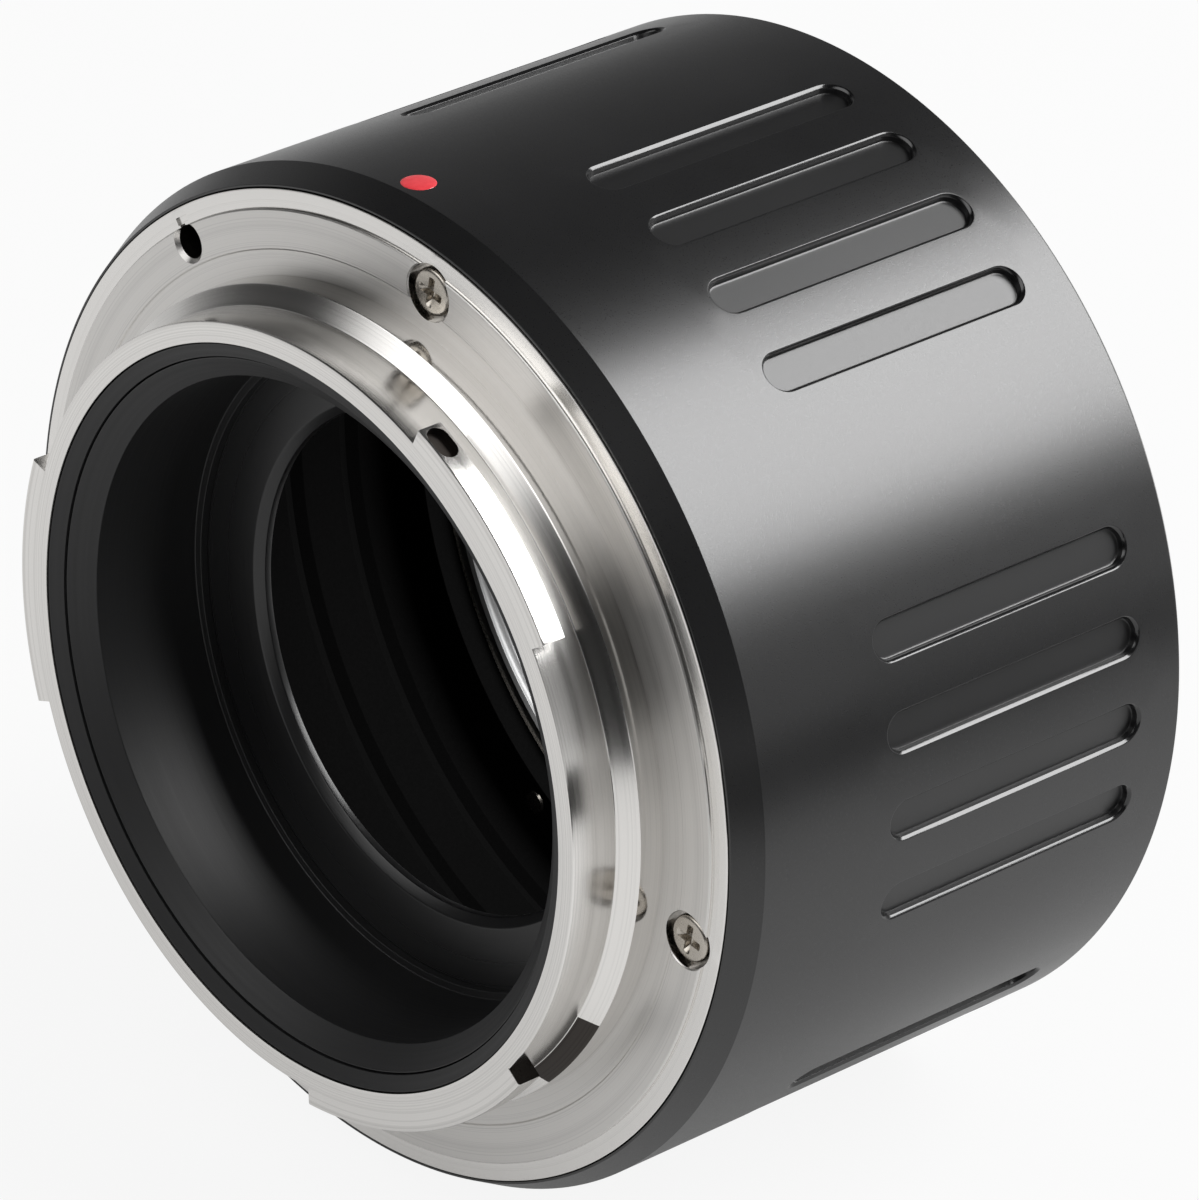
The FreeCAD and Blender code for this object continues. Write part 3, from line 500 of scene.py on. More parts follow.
matt_black = turned_black_anodise("turned_matt_black_anodised_aluminium", 0.46, 0.56)
throat = turned_ring("throat_tube", [
    (-5.45, 23.3, 0.05), (-4.17, 21.75, 0.12), (4.0, 21.75, 0.08), (4.0, 21.2, 0.05),
    (4.6, 21.2, 0.05), (4.6, 22.3, 0.02), (9.0, 22.3, 0.08), (9.0, 23.9, 0.1), (7.9, 23.9, 0.05),
    (7.9, 27.4, 0.1), (6.5, 27.4, 0.02), (6.5, 23.3, 0.02)], matt_black)
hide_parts("baffle_tube")
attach(throat, "root")

# Baffle screws
# Three small pan-head screws with cross recesses, in steel with a black oxide skin. They hold the
# baffle tube's flange to the web.
SCREW_SIDES = 48
SHANK_CHAMFER = 0.12
HEAD_ROUNDING = 0.28
RECESS_HALF_WIDTH = 0.24
RECESS_DEPTH = 0.6


def black_oxide_steel():
    """Steel with a thin black oxide: dark, slightly metallic, with a dull sheen."""
    material, tree = new_material("black_oxide_steel")
    place = add(tree, "ShaderNodeTexCoord").outputs["Object"]
    grain = add(tree, "ShaderNodeTexNoise", {"Vector": place, "Scale": 1 / 0.0002, "Detail": 3.0})
    tone = add(tree, "ShaderNodeValToRGB", {"Fac": grain.outputs["Fac"]})
    set_stops(tone, (0.0, linear("#1E1E20")), (1.0, linear("#3A3A3C")))
    skin = add(tree, "ShaderNodeBsdfPrincipled", {
        "Base Color": tone.outputs["Color"], "Metallic": 0.8, "Roughness": 0.35})
    add(tree, "ShaderNodeOutputMaterial", {"Surface": skin.outputs["BSDF"]})
    return material


def first_screw(name, place, shank, head, toward_lens):
    """One pan-head screw. place holds its clock angle, its circle's radius and its seat; shank and
    head hold a radius and a length. The recess is a cross that tapers to a coned floor."""
    angle, circle_radius, seat = place
    shank_radius, shank_length = shank
    head_radius, head_height = head
    circle = round_points(SCREW_SIDES)
    mesh = bmesh.new()
    lines = [(shank_radius - SHANK_CHAMFER, -shank_length),
             (shank_radius, SHANK_CHAMFER - shank_length), (shank_radius, 0.0),
             (head_radius - 0.03, 0.0), (head_radius, 0.03), (head_radius, head_height - 0.3)]
    for step in range(1, 5):
        swing = math.pi / 2 * step / 4
        lines.append((head_radius - HEAD_ROUNDING * (1 - math.cos(swing)),
                      head_height - 0.3 + HEAD_ROUNDING * math.sin(swing)))
    rows = [[Vector((radius * c, radius * s, height)) for c, s in circle]
            for radius, height in lines]
    arm = 0.62 * head_radius
    # The recess has its mouth, its edge and its drawn-in floor, with as many points as the head.
    for scale, height in ((1.08, head_height), (1.0, head_height - 0.05),
                          (0.72, head_height - 0.5)):
        cross = []
        for c, s in circle:
            reach = min(arm, RECESS_HALF_WIDTH / max(min(abs(c), abs(s)), 1e-6))
            cross.append(Vector((c, s, 0)) * reach * scale + Vector((0, 0, height)))
        rows.append(cross)
    made = skin_rows(mesh, rows, closed_across=True)
    mesh.faces.new(made[0])
    close_to_point(mesh, made[-1], (0, 0, head_height - RECESS_DEPTH))
    axis = Vector((0, 1, 0)) if toward_lens else Vector((0, -1, 0))
    outward = clock(angle, 1, 0)
    seat_frame = Matrix((outward, axis.cross(outward), axis)).transposed().to_4x4()
    seat_frame.translation = clock(angle, circle_radius, seat)
    bmesh.ops.transform(mesh, matrix=seat_frame, verts=mesh.verts)
    return finish_mesh(name, mesh)


black_steel = black_oxide_steel()
baffle_screws = repeated("throat_screws", first_screw(
    "throat_screw", (60.0, 25.6, 7.9), (0.7, 4.4), (1.2, 0.9), True), 3, black_steel)
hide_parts("baffle_screws")
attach(baffle_screws, "root")

# Light stop
# A dished black disc with a bevelled round aperture, dropped against the lip inside the throat.
# It is turned and anodised like the throat, but finer, so that its edge catches a streak of light.
satin_black = turned_black_anodise("turned_satin_black_anodised_aluminium", 0.27, 0.33)
stop = turned_ring("stop_disc", [
    (4.6, 22.25, 0.02), (4.6, 21.2, 0), (5.25, 17.4, 0.4), (5.7, 16.8, 0.12), (6.2, 16.8, 0.05),
    (6.2, 20.4, 0.08), (5.6, 20.4, 0.05), (5.6, 22.25, 0.02)], satin_black)
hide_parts("light_stop")
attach(stop, "root")

# Stop retaining ring
# The threaded ring behind the light stop, with two notches for a spanner. It is seen only from
# the lens end.
NOTCH_HALF_WIDTH = 0.8
NOTCH_CIRCLE = 21.6
NOTCH_FLOOR = 6.5
RETAINER_BORE = 21.0
RETAINER_RADIUS = 22.25
RETAINER_FRONT = 5.6
RETAINER_REAR = 7.2
RETAINER_EDGE = 0.08
ARC_STEPS = 90
retainer_mesh = bmesh.new()
notch_angle = math.degrees(NOTCH_HALF_WIDTH / NOTCH_CIRCLE)
columns = []
for side in (0, 180):
    first, last = side + notch_angle, side + 180 - notch_angle
    columns += [(side - notch_angle, False), (side - notch_angle, True), (first, True),
                (first, False)]
    columns += [(first + (last - first) * step / ARC_STEPS, False) for step in range(1, ARC_STEPS)]
rows = []
for angle, notched in columns:
    rear = NOTCH_FLOOR if notched else RETAINER_REAR
    rows.append([clock(angle, out, along) for along, out in (
        (RETAINER_FRONT, RETAINER_BORE), (RETAINER_FRONT, RETAINER_RADIUS),
        (rear - RETAINER_EDGE, RETAINER_RADIUS), (rear, RETAINER_RADIUS - RETAINER_EDGE),
        (rear, RETAINER_BORE + RETAINER_EDGE), (rear - RETAINER_EDGE, RETAINER_BORE))])
skin_rows(retainer_mesh, rows, closed_round=True, closed_across=True)
retainer = finish_mesh("stop_ring", retainer_mesh, matt_black, smooth_below=25.0)
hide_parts("stop_retaining_ring")
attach(retainer, "root")

# Mouth baffle
# The black ring just inside the chromed rim, clamped under the bayonet plate. Its front is
# bevelled inwards, and a thin dark line parts it from the throat.
mouth = turned_ring("mouth_ring", [
    (-6.05, 24.35, 0.04), (-5.53, 23.38, 0.03), (2.5, 23.38, 0.02), (2.5, 25.85, 0.02),
    (0.9, 25.85, 0.02), (0.9, 24.35, 0.02)], matt_black)
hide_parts("mouth_baffle")
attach(mouth, "root")

# Shims and dowel
# Two thin steel rings set the distance from the seat to the lens, and a ground steel pin sets the
# plate's angle. They are cold-rolled and ground bright, and hardly show.


def bright_steel():
    """Ground steel, with streaks 0.2 mm wide in its roughness."""
    material, tree = new_material("ground_bright_steel")
    place = add(tree, "ShaderNodeTexCoord").outputs["Object"]
    streaks = add(tree, "ShaderNodeTexNoise", {"Vector": place, "Scale": 1 / 0.0002, "Detail": 3.0})
    rough = add(tree, "ShaderNodeMapRange", {
        "Value": streaks.outputs["Fac"], "From Min": 0.3, "From Max": 0.7,
        "To Min": 0.22, "To Max": 0.32})
    bump = add(tree, "ShaderNodeBump", {
        "Strength": 0.2, "Distance": 0.00001, "Height": streaks.outputs["Fac"]})
    skin = add(tree, "ShaderNodeBsdfPrincipled", {
        "Base Color": linear("#BDB7AE"), "Metallic": 1.0, "Roughness": rough.outputs["Result"],
        "Normal": bump.outputs["Normal"]})
    add(tree, "ShaderNodeOutputMaterial", {"Surface": skin.outputs["BSDF"]})
    return material


steel = bright_steel()
for node_name in ("flange_shim_thick", "flange_shim_thin", "mount_dowel", "coupling_shim"):
    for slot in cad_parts[node_name].material_slots:
        slot.material = steel

# Bayonet plate
# The chromed brass plate that meets the camera: a flange with a raised seat, the register that
# centres it, a neck, and a rim with three unequal lugs. The faces are turned and then plated,
# so fine rings show on the flat faces, and the walls are polished like a mirror.
LUGS = ((25.3, 32.6), (128.2, 48.8), (251.0, 37.4))
NECK_RADIUS = 25.8
LUG_RADIUS = 26.95
LUG_SLOT_ANGLE = 28.2
LUG_SLOT_PLACE = -5.275
LUG_SLOT_FLOOR = 26.35
LUG_SLOT_HALF_WIDTH = 0.725
LUG_SLOT_HALF_STRAIGHT = 0.45
LUG_SLOT_STEPS = 12
FLANGE_SCREW_ANGLE = 10.2
FLANGE_SCREW_CIRCLE = 29.75
FLANGE_SCREW_SEAT = 1.2
FLANGE_SCREWS = 4
LOCK_HOLE_ANGLE = 324.8
LOCK_HOLE_CIRCLE = 30.2
LOCK_NOTCH_CIRCLE = 31.65
CUTTER_SIDES = 64


def turned_metal(name, tones, rough_low, rough_high, ring_depth, spread):
    """Bright metal with rings 0.12 mm apart, drawn from the real feed of a finishing cut. They
    stain its colour a little and spread its reflections along the radius."""
    material, tree = new_material(name)
    section = axis_section(tree, add(tree, "ShaderNodeTexCoord").outputs["Object"])
    fine = add(tree, "ShaderNodeTexNoise", {"Vector": section, "Scale": 1 / 0.00012, "Detail": 2.0})
    coarse = add(tree, "ShaderNodeTexNoise", {
        "Vector": section, "Scale": 1 / 0.0009, "Detail": 2.0})
    rough = add(tree, "ShaderNodeMapRange", {
        "Value": coarse.outputs["Fac"], "From Min": 0.3, "From Max": 0.7,
        "To Min": rough_low, "To Max": rough_high})
    both = add(tree, "ShaderNodeMath", {
        0: fine.outputs["Fac"], 1: coarse.outputs["Fac"]}, operation="ADD")
    bump = add(tree, "ShaderNodeBump", {
        "Strength": 1.0, "Distance": ring_depth, "Height": both.outputs["Value"]})
    round_axis = add(tree, "ShaderNodeTangent", direction_type="RADIAL", axis="Y")
    stained = add(tree, "ShaderNodeValToRGB", {"Fac": both.outputs["Value"]})
    set_stops(stained, (0.7, linear(tones[0])), (1.0, linear(tones[1])))
    skin = add(tree, "ShaderNodeBsdfPrincipled", {
        "Base Color": stained.outputs["Color"], "Metallic": 1.0,
        "Roughness": rough.outputs["Result"], "Anisotropic": spread, "Anisotropic Rotation": 0.25,
        "Tangent": round_axis.outputs["Tangent"], "Normal": bump.outputs["Normal"]})
    add(tree, "ShaderNodeOutputMaterial", {"Surface": skin.outputs["BSDF"]})
    return material


def plate_columns():
    """Clock angles all round the plate, each with whether a lug lies beyond it. The two sides of a
    lug's end share one angle."""
    ends = [end for start, span in LUGS for end in (start, start + span)]
    columns = [(float(angle), any(start < angle < start + span for start, span in LUGS))
               for angle in range(360) if min(abs(angle - end) for end in ends) > 0.4]
    for start, span in LUGS:
        end = start + span
        columns += [(start, False), (start + 1e-6, True), (end - 1e-6, True), (end, False)]
    return sorted(columns)


def bayonet_plate():
    """The plate's skin, drawn column by column, with the lugs standing out of the neck."""
    rim = [(-6.0, 24.4), (-6.11, 24.44), (-6.15, 24.55), (-6.15, 25.65)]
    bare = [(-6.15, 25.65), (-6.106, 25.756), (-6.0, NECK_RADIUS), (-4.4, NECK_RADIUS)]
    lug = [(-6.15, 26.8), (-6.106, 26.906), (-6.0, LUG_RADIUS), (-4.4, LUG_RADIUS)]
    neck_and_register = [(-4.4, NECK_RADIUS), (-4.33, NECK_RADIUS), (-2.7, NECK_RADIUS),
                         (-2.62, 25.84), (-1.8, 26.91), (-1.71, 26.97), (0.1, 26.97)]
    flange = [(0.1, 28.58), (0.09, 28.61), (0.01, 28.69), (0.0, 28.72), (0.0, 31.13), (0.01, 31.16),
              (0.09, 31.24), (0.11, 31.25), (0.24, 31.25), (0.25, 31.26), (0.25, 32.35),
              (0.294, 32.456), (0.4, 32.5), (2.2, 32.5), (2.2, 25.9), (0.9, 25.9), (0.9, 24.4)]
    mesh = bmesh.new()
    rows = [[clock(angle, out, along)
             for along, out in rim + (lug if lugged else bare) + neck_and_register + flange]
            for angle, lugged in plate_columns()]
    skin_rows(mesh, rows, closed_round=True, closed_across=True)
    return mesh


def boss(mesh, angle, circle_radius, lines):
    """A closed round cutter along the axis. lines are pairs of place along the axis and radius."""
    centre = clock(angle, circle_radius, 0)
    made = skin_rows(mesh, [[centre + Vector((radius * c, along, radius * s))
                             for c, s in round_points(CUTTER_SIDES)] for along, radius in lines],
                     closed_across=True)
    mesh.faces.new(made[0])
    mesh.faces.new(made[-1])


def block(mesh, angle, circle_radius, size, along):
    """A closed block as a cutter, square to a radius. size is tangent by radial by axial."""
    outward, tangent = directions(angle)
    corners = []
    for y in (-size[2] / 2, size[2] / 2):
        for a, b in ((-1, -1), (1, -1), (1, 1), (-1, 1)):
            corners.append(mesh.verts.new(
                outward * (circle_radius + b * size[1] / 2) + tangent * (a * size[0] / 2)
                + Vector((0, along + y, 0))))
    mesh.faces.new(corners[:4])
    mesh.faces.new(corners[4:])
    for number in range(4):
        beside = (number + 1) % 4
        mesh.faces.new((corners[number], corners[beside], corners[4 + beside], corners[4 + number]))


def cut_away(piece, cutter):
    """Cut one closed object out of another and remove the cutter."""
    modifier = piece.modifiers.new("cut", "BOOLEAN")
    modifier.operation = "DIFFERENCE"
    modifier.solver = "EXACT"
    modifier.object = cutter
    piece.data = applied(piece, modifier, piece.name)
    bpy.data.objects.remove(cutter)


def plate_coat(face):
    """Satin on the flat faces, polish on the register, burnish on the neck, its shoulder, the lugs,
    the rim and the outer ring, and a dark chrome of painted shade in the lock-pin hole, in the
    lug's slot and where the long lug starts. The sizes are in millimetres."""
    # The last of these, dull, is the dark chrome that paints shade into the plate's recesses.
    satin, polish, burnish, dull = range(4)
    centre = Vector(face.center) * 1000
    out, along = math.hypot(face.center.x, face.center.z) * 1000, face.center.y * 1000
    angle = math.degrees(math.atan2(face.center.x, face.center.z)) % 360
    if (centre - clock(LOCK_HOLE_ANGLE, LOCK_HOLE_CIRCLE, along)).length < 1.15 and along > 0.2:
        return dull
    if 25.85 < out < 26.9 and -6.1 < along < -4.45:
        if LUGS[0][0] < angle < 31.5 or abs(angle - LUGS[1][0]) < 0.3:
            return dull
    if -2.69 < along < -1.72 and 25.82 < out < 26.96:
        return dull if 119.0 < angle < 135.0 else burnish
    if abs(face.normal.y) < 0.5:
        return polish if along > -2.0 else burnish
    return burnish if along < -6.0 or (out > 31.2 and along < 1.0) else satin


flat_chrome = turned_metal(
    "turned_satin_chrome", ("#BBB9B7", "#D8D6D3"), 0.32, 0.4, 0.0000014, 0.5)
mirror_chrome = turned_metal(
    "polished_chrome", ("#CFCDCA", "#DAD8D5"), 0.06, 0.12, 0.0000005, 0.3)
burnished_chrome = turned_metal(
    "burnished_chrome", ("#D8D6D3", "#EAE8E5"), 0.16, 0.24, 0.0000008, 0.4)
# A dark chrome of painted shade: it darkens the lock-pin hole, the lug's slot and the shoulder
# where the long lug starts, where shade falls.
painted_shade_chrome = turned_metal(
    "chrome_with_painted_shade", ("#282522", "#423E3B"), 0.42, 0.55, 0.000001, 0.0)
plate = finish_mesh("bayonet_plate", bayonet_plate())
holes = bmesh.new()
for number in range(FLANGE_SCREWS):
    boss(holes, FLANGE_SCREW_ANGLE + 90 * number, FLANGE_SCREW_CIRCLE, [
        (-1.0, 1.95), (0.02, 1.95), (0.1, 1.87), (FLANGE_SCREW_SEAT, 1.87),
        (FLANGE_SCREW_SEAT, 1.05), (3.0, 1.05)])
boss(holes, LOCK_HOLE_ANGLE, LOCK_HOLE_CIRCLE, [
    (-1.0, 1.37), (0.0, 1.37), (0.25, 1.1), (1.8, 1.1)])
cut_away(plate, finish_mesh("plate_holes", holes))
notch = bmesh.new()
block(notch, LOCK_HOLE_ANGLE, LOCK_NOTCH_CIRCLE, (1.2, 0.5, 1.4), -0.3)
cut_away(plate, finish_mesh("plate_notch", notch))
# The short lug's blind slot runs along the clock direction, with round ends.
slot_cutter = bmesh.new()
slot_out, slot_side = directions(LUG_SLOT_ANGLE)
slot_line = []
for side, base in ((1, -math.pi / 2), (-1, math.pi / 2)):
    for step in range(LUG_SLOT_STEPS + 1):
        turn = base + math.pi * step / LUG_SLOT_STEPS
        slot_line.append((side * LUG_SLOT_HALF_STRAIGHT + LUG_SLOT_HALF_WIDTH * math.cos(turn),
                          LUG_SLOT_PLACE + LUG_SLOT_HALF_WIDTH * math.sin(turn)))
made = skin_rows(slot_cutter, [[slot_out * out + slot_side * across + Vector((0, along, 0))
                                for across, along in slot_line]
                               for out in (LUG_SLOT_FLOOR, LUG_RADIUS + 1.05)], closed_across=True)
slot_cutter.faces.new(made[0])
slot_cutter.faces.new(made[1])
cut_away(plate, finish_mesh("lug_slot", slot_cutter))
coat(plate, flat_chrome, mirror_chrome, burnished_chrome, painted_shade_chrome, choose=plate_coat)
shade(plate, 30.0)
weigh_normals(plate)
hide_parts("bayonet_mount")
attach(plate, "root")

# Flange screws
# Four bright nickel-plated steel screws, sunk in counterbores so that they lie below the seat.
# They pull the bayonet plate and its shims onto the web.
flange_screw_place = (FLANGE_SCREW_ANGLE, FLANGE_SCREW_CIRCLE, FLANGE_SCREW_SEAT)
flange_screws = repeated("plate_screws", first_screw(
    "plate_screw", flange_screw_place, (1.0, 4.4), (1.55, 1.0), False), FLANGE_SCREWS, steel)
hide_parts("flange_screws")
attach(flange_screws, "root")

# Coupling ring
# The bare aluminium ring at the lens end, with the lens's thread cut in its bore, a relief at the
# mouth and four deep counterbores. It was turned and never anodised, so it is bare grey metal
# with fine rings.
THREAD_PITCH = 0.75
THREAD_DEPTH = 0.38
THREAD_RADIUS = 27.6
THREAD_FRONT = 31.15
THREAD_REAR = 36.9
THREAD_ROWS = 48
COUPLING_SCREW_ANGLE = 33.4
COUPLING_SCREW_CIRCLE = 29.875
COUPLING_SCREW_SEAT = 32.95
COUPLING_SCREWS = 4
bare_metal = turned_metal(
    "bare_turned_aluminium", ("#6C6C6C", "#868686"), 0.36, 0.46, 0.000002, 0.5)
coupling_mesh = bmesh.new()
rows = []
for number in range(RING_COLUMNS):
    angle = 360 * number / RING_COLUMNS
    line = [(30.95, 27.8), (30.95, 32.1), (31.0, 32.15), (38.0, 32.15), (38.11, 32.11),
            (REAR_END, 32.0), (REAR_END, 28.4), (38.12, 28.33), (38.05, 28.3), (36.95, 28.3),
            (36.95, 27.7)]
    for step in range(THREAD_ROWS + 1):
        along = THREAD_REAR - (THREAD_REAR - THREAD_FRONT) * step / THREAD_ROWS
        phase = (along / THREAD_PITCH + angle / 360) % 1
        wave = 1 - abs(2 * phase - 1)
        fade = min(1.0, 4 * step / THREAD_ROWS, 4 * (THREAD_ROWS - step) / THREAD_ROWS)
        line.append((along, THREAD_RADIUS + THREAD_DEPTH * wave * fade))
    rows.append([clock(angle, out, along) for along, out in line])
skin_rows(coupling_mesh, rows, closed_round=True, closed_across=True)
coupling = finish_mesh("lens_coupling_ring", coupling_mesh, bare_metal)
holes = bmesh.new()
for number in range(COUPLING_SCREWS):
    boss(holes, COUPLING_SCREW_ANGLE + 90 * number, COUPLING_SCREW_CIRCLE, [
        (30.0, 0.9), (COUPLING_SCREW_SEAT, 0.9), (COUPLING_SCREW_SEAT, 1.5), (38.08, 1.5),
        (38.16, 1.58), (39.0, 1.58)])
cut_away(coupling, finish_mesh("coupling_holes", holes))
coat(coupling, bare_metal)
shade(coupling, 30.0)
weigh_normals(coupling)
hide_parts("coupling_ring")
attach(coupling, "root")

# Coupling screws
# Four bright steel screws at the bottom of the coupling ring's counterbores. Their tips come
# through the rear web, and one of them glints far inside the tube.
coupling_screw_place = (COUPLING_SCREW_ANGLE, COUPLING_SCREW_CIRCLE, COUPLING_SCREW_SEAT)
coupling_screws = repeated("coupling_ring_screws", first_screw(
    "coupling_screw", coupling_screw_place, (0.85, 4.1), (1.35, 1.1), True), COUPLING_SCREWS, steel)
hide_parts("coupling_screws")
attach(coupling_screws, "root")

# Studio
# A pale floor, one large soft lamp high on the lens side that draws the barrel's broad highlight,
# and a pale surround that darkens overhead. In mirrored rays the floor's white is cut down under
# the tube as a painted shadow, and far off on the left as a painted falloff of the lamp's light.
FLOOR_HEIGHT = -0.0338
CARD_FOOT = -0.0337


def ray_kinds(tree):
    """Two values: 1 for a ray straight from the camera, and 1 for a mirrored or refracted one."""
    rays = add(tree, "ShaderNodeLightPath").outputs
    bent = add(tree, "ShaderNodeMath", {
        0: rays["Is Glossy Ray"], 1: rays["Is Transmission Ray"]}, operation="MAXIMUM")
    return rays["Is Camera Ray"], bent.outputs["Value"]


floor_material, tree = new_material("pale_studio_floor")
seen_ray, mirrored_ray = ray_kinds(tree)
straight = add(tree, "ShaderNodeMath", {0: seen_ray, 1: 0.9}, operation="MULTIPLY")
spot = add(tree, "ShaderNodeTexCoord").outputs["Object"]
# In mirrored rays the floor's white is cut down within a few centimetres of the tube, a painted
# shadow, and far off on the left, a painted falloff of the lamp's light.
reach = add(tree, "ShaderNodeVectorMath", {0: spot, 1: (0.012, 0.036, 0.0)}, operation="DISTANCE")
beside = add(tree, "ShaderNodeMapRange", {
    "Value": reach.outputs["Value"], "From Min": 0.02, "From Max": 0.055,
    "To Min": 0.22, "To Max": 0.5}, interpolation_type="SMOOTHSTEP")
painted_falloff = add(tree, "ShaderNodeMapRange", {
    "Value": add(tree, "ShaderNodeSeparateXYZ", {"Vector": spot}).outputs["X"],
    "From Min": -0.5, "From Max": -0.1, "To Min": 0.6, "To Max": 1.0},
    interpolation_type="SMOOTHSTEP")
mirrored_share = add(tree, "ShaderNodeMath", {
    0: beside.outputs["Result"], 1: painted_falloff.outputs["Result"]}, operation="MULTIPLY")
share = add(tree, "ShaderNodeMath", {
    0: mirrored_ray, 1: mirrored_share.outputs["Value"], 2: straight.outputs["Value"]},
    operation="MULTIPLY_ADD")
matt = add(tree, "ShaderNodeBsdfDiffuse", {"Color": linear("#BEBEBE")})
white = add(tree, "ShaderNodeEmission", {"Color": (1, 1, 1, 1), "Strength": 1.0})
surface = add(tree, "ShaderNodeMixShader", {
    0: share.outputs["Value"], 1: matt.outputs["BSDF"], 2: white.outputs["Emission"]})
add(tree, "ShaderNodeOutputMaterial", {"Surface": surface.outputs["Shader"]})
floor_mesh = bmesh.new()
bmesh.ops.create_circle(floor_mesh, cap_ends=True, segments=128, radius=6.0)
floor_data = bpy.data.meshes.new("studio_floor")
floor_mesh.to_mesh(floor_data)
floor_mesh.free()
floor_data.materials.append(floor_material)
floor = new_object("studio_floor", floor_data)
floor.location = (0, 0, FLOOR_HEIGHT)

card_material, tree = new_material("black_studio_card")
felt = add(tree, "ShaderNodeBsdfDiffuse", {"Color": linear("#101010")})
add(tree, "ShaderNodeOutputMaterial", {"Surface": felt.outputs["BSDF"]})


def black_card(name, start, end, top):
    """A black card that stands on the floor between two places and is out of the camera's sight."""
    mesh = bmesh.new()
    mesh.faces.new([mesh.verts.new(corner) for corner in (
        (*start, CARD_FOOT), (*end, CARD_FOOT), (*end, top), (*start, top))])
    data = bpy.data.meshes.new(name)
    mesh.to_mesh(data)
    mesh.free()
    data.materials.append(card_material)
    card = new_object(name, data)
    card.visible_camera = False


# The front card draws the dark bands in the polished plate, and the low one at the right darkens
# the barrel's right side.
black_card("front_card", (0.07, -0.19), (0.155, -0.145), 0.09)
black_card("right_card", (0.15, -0.06), (0.12, 0.13), -0.003)


def aim(made, side, back):
    """Turn a lamp or the camera by two unit vectors: where its right side and its back point."""
    made.rotation_mode = "QUATERNION"
    made.rotation_quaternion = Matrix((side, back.cross(side), back)).transposed().to_quaternion()


# The lamp's long side lies along the arc that the barrel's wall mirrors to the camera.
lamp_data = bpy.data.lights.new("key_lamp", "AREA")
lamp_data.shape = "RECTANGLE"
lamp_data.size, lamp_data.size_y = 0.39, 0.34
lamp_data.energy = 3.8
lamp_direction = Vector((0.475, 0.60, 0.638)).normalized()
arc = Vector((-0.76, 0.0, 0.60)).normalized()
lamp = new_object("key_lamp", lamp_data)
lamp.location = lamp_direction * 0.55 + Vector((0, 0.018, 0))
lamp.visible_camera = False
aim(lamp, (arc - lamp_direction * arc.dot(lamp_direction)).normalized(), lamp_direction)

world = bpy.data.worlds.new("studio_surround")
bpy.context.scene.world = world
world.use_nodes = True
tree = world.node_tree
tree.nodes.clear()
seen_ray, mirrored_ray = ray_kinds(tree)
look = add(tree, "ShaderNodeTexCoord").outputs["Generated"]
height = add(tree, "ShaderNodeSeparateXYZ", {"Vector": look}).outputs["Z"]
shade_up = add(tree, "ShaderNodeValToRGB", {"Fac": height})
greys = [(place, (level, level, level, 1)) for place, level in (
    (0.0, 0.5), (1.0, 0.03), (0.2, 0.33), (0.45, 0.2), (0.65, 0.08), (0.75, 0.04))]
set_stops(shade_up, *greys)


def glow(direction, edge, core, outside, inside):
    """A soft round patch of the surround: a level inside the core and another outside the edge,
    both given as cosines of the angle from its direction."""
    along = add(tree, "ShaderNodeVectorMath", {0: look, 1: Vector(direction).normalized()},
                operation="DOT_PRODUCT")
    return add(tree, "ShaderNodeMapRange", {
        "Value": along.outputs["Value"], "From Min": edge, "From Max": core, "To Min": outside,
        "To Max": inside}, interpolation_type="SMOOTHSTEP").outputs["Result"]


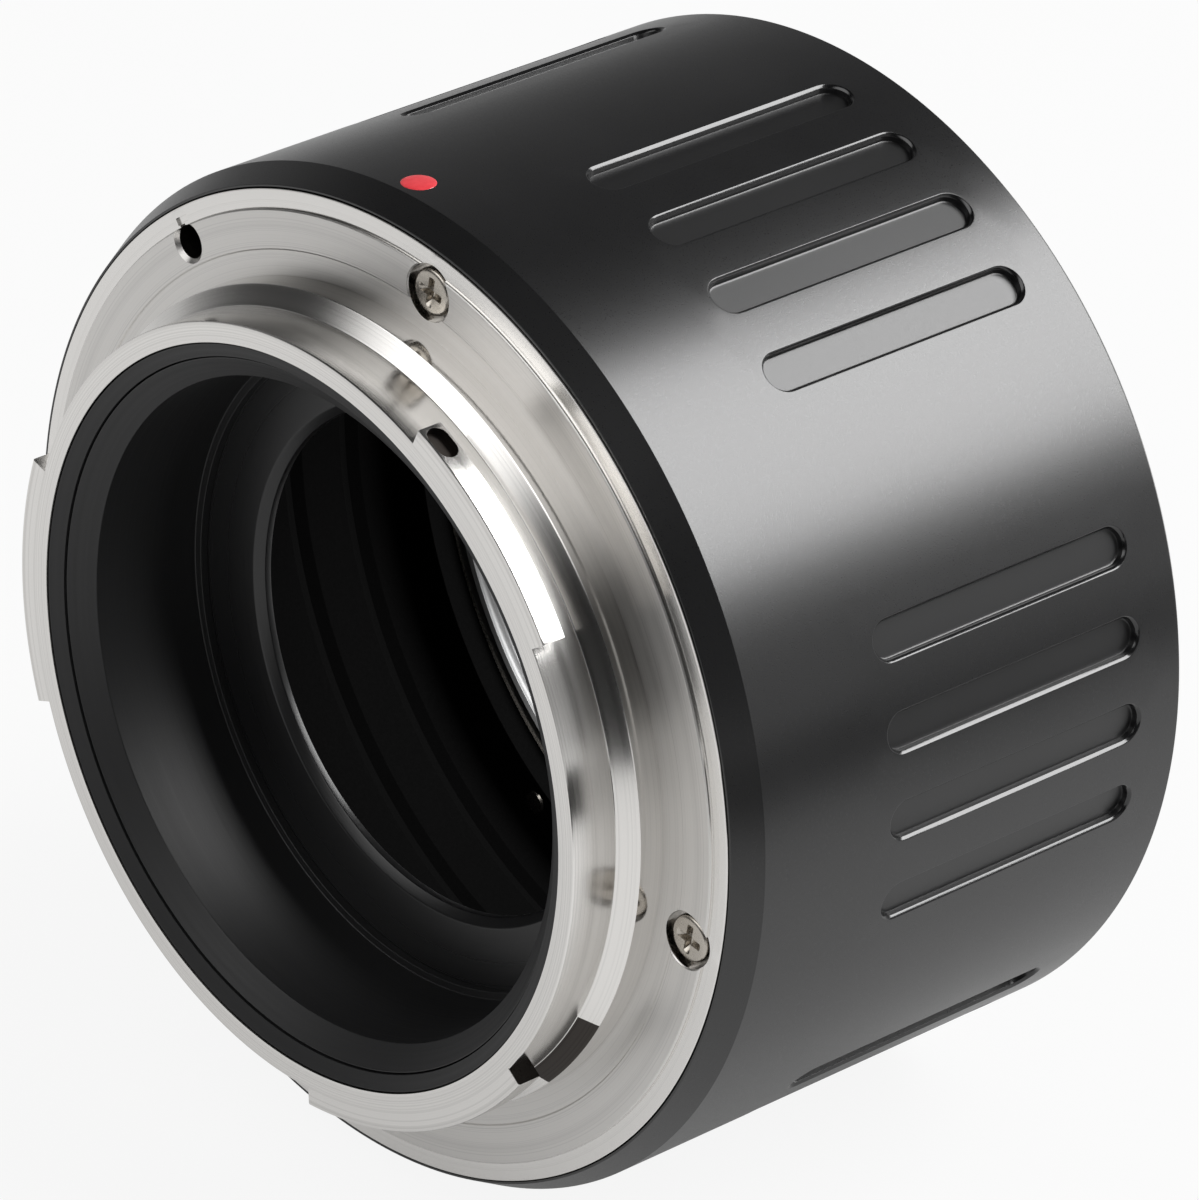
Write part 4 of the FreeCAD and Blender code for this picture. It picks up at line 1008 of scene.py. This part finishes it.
camera_side = glow((0.0, -1.0, 0.0), -0.05, 0.3, 1.0, 0.15)
far_left = glow((-0.8, 0.6, 0.0), 0.8, 0.98, 1.0, 0.62)
dimmed = add(tree, "ShaderNodeMath", {0: camera_side, 1: far_left}, operation="MULTIPLY")
darker = add(tree, "ShaderNodeVectorMath", {
    0: shade_up.outputs["Color"], "Scale": dimmed.outputs["Value"]}, operation="SCALE")
fill = add(tree, "ShaderNodeMath", {
    0: glow((-0.08, -0.6, 0.79), 0.6, 0.95, 0.0, 1.9),
    1: glow((0.0, -1.0, 0.0), 0.36, 0.54, 0.0, 1.0)}, operation="MULTIPLY")
lower_edge = add(tree, "ShaderNodeMapRange", {
    "Value": height, "From Min": 0.42, "From Max": 0.6}, interpolation_type="SMOOTHSTEP")
fill = add(tree, "ShaderNodeMath", {
    0: fill.outputs["Value"], 1: lower_edge.outputs["Result"]}, operation="MULTIPLY")
studio = add(tree, "ShaderNodeVectorMath", {
    0: darker.outputs["Vector"], 1: fill.outputs["Value"]}, operation="ADD")
ambient = add(tree, "ShaderNodeBackground", {"Color": (1, 1, 1, 1), "Strength": 0.65})
surround = add(tree, "ShaderNodeBackground", {"Color": studio.outputs["Vector"], "Strength": 1.0})
backdrop = add(tree, "ShaderNodeBackground", {"Color": (1, 1, 1, 1), "Strength": 1.0})
lit = add(tree, "ShaderNodeMixShader", {
    0: mirrored_ray, 1: ambient.outputs["Background"], 2: surround.outputs["Background"]})
shown = add(tree, "ShaderNodeMixShader", {
    0: seen_ray, 1: lit.outputs["Shader"], 2: backdrop.outputs["Background"]})
add(tree, "ShaderNodeOutputWorld", {"Surface": shown.outputs["Shader"]})

# Camera
# It stands where the photograph's camera stood: half a metre off, on the bayonet's side and to the
# right, and a little above the tube. The long lens keeps the circles close to true ellipses.
CAMERA_PLACE = Vector((0.35434, -0.30693, 0.24736))
AZIMUTH = math.radians(47.357)
ELEVATION = math.radians(27.186)
ROLL = math.radians(0.982)
SENSOR_WIDTH = 36.0
FOCAL_LENGTH = 254.81
back = Vector((math.sin(AZIMUTH) * math.cos(ELEVATION), -math.cos(AZIMUTH) * math.cos(ELEVATION),
               math.sin(ELEVATION)))
level = Vector((math.cos(AZIMUTH), math.sin(AZIMUTH), 0))
above = back.cross(level)
right = level * math.cos(ROLL) + above * math.sin(ROLL)
camera_data = bpy.data.cameras.new("camera")
camera_data.sensor_width = SENSOR_WIDTH
camera_data.lens = FOCAL_LENGTH
camera_data.clip_start = 0.01
camera_data.clip_end = 50.0
camera = new_object("camera", camera_data)
camera.location = CAMERA_PLACE
aim(camera, right, back)
bpy.context.scene.camera = camera
bpy.context.scene.view_settings.view_transform = "Standard"
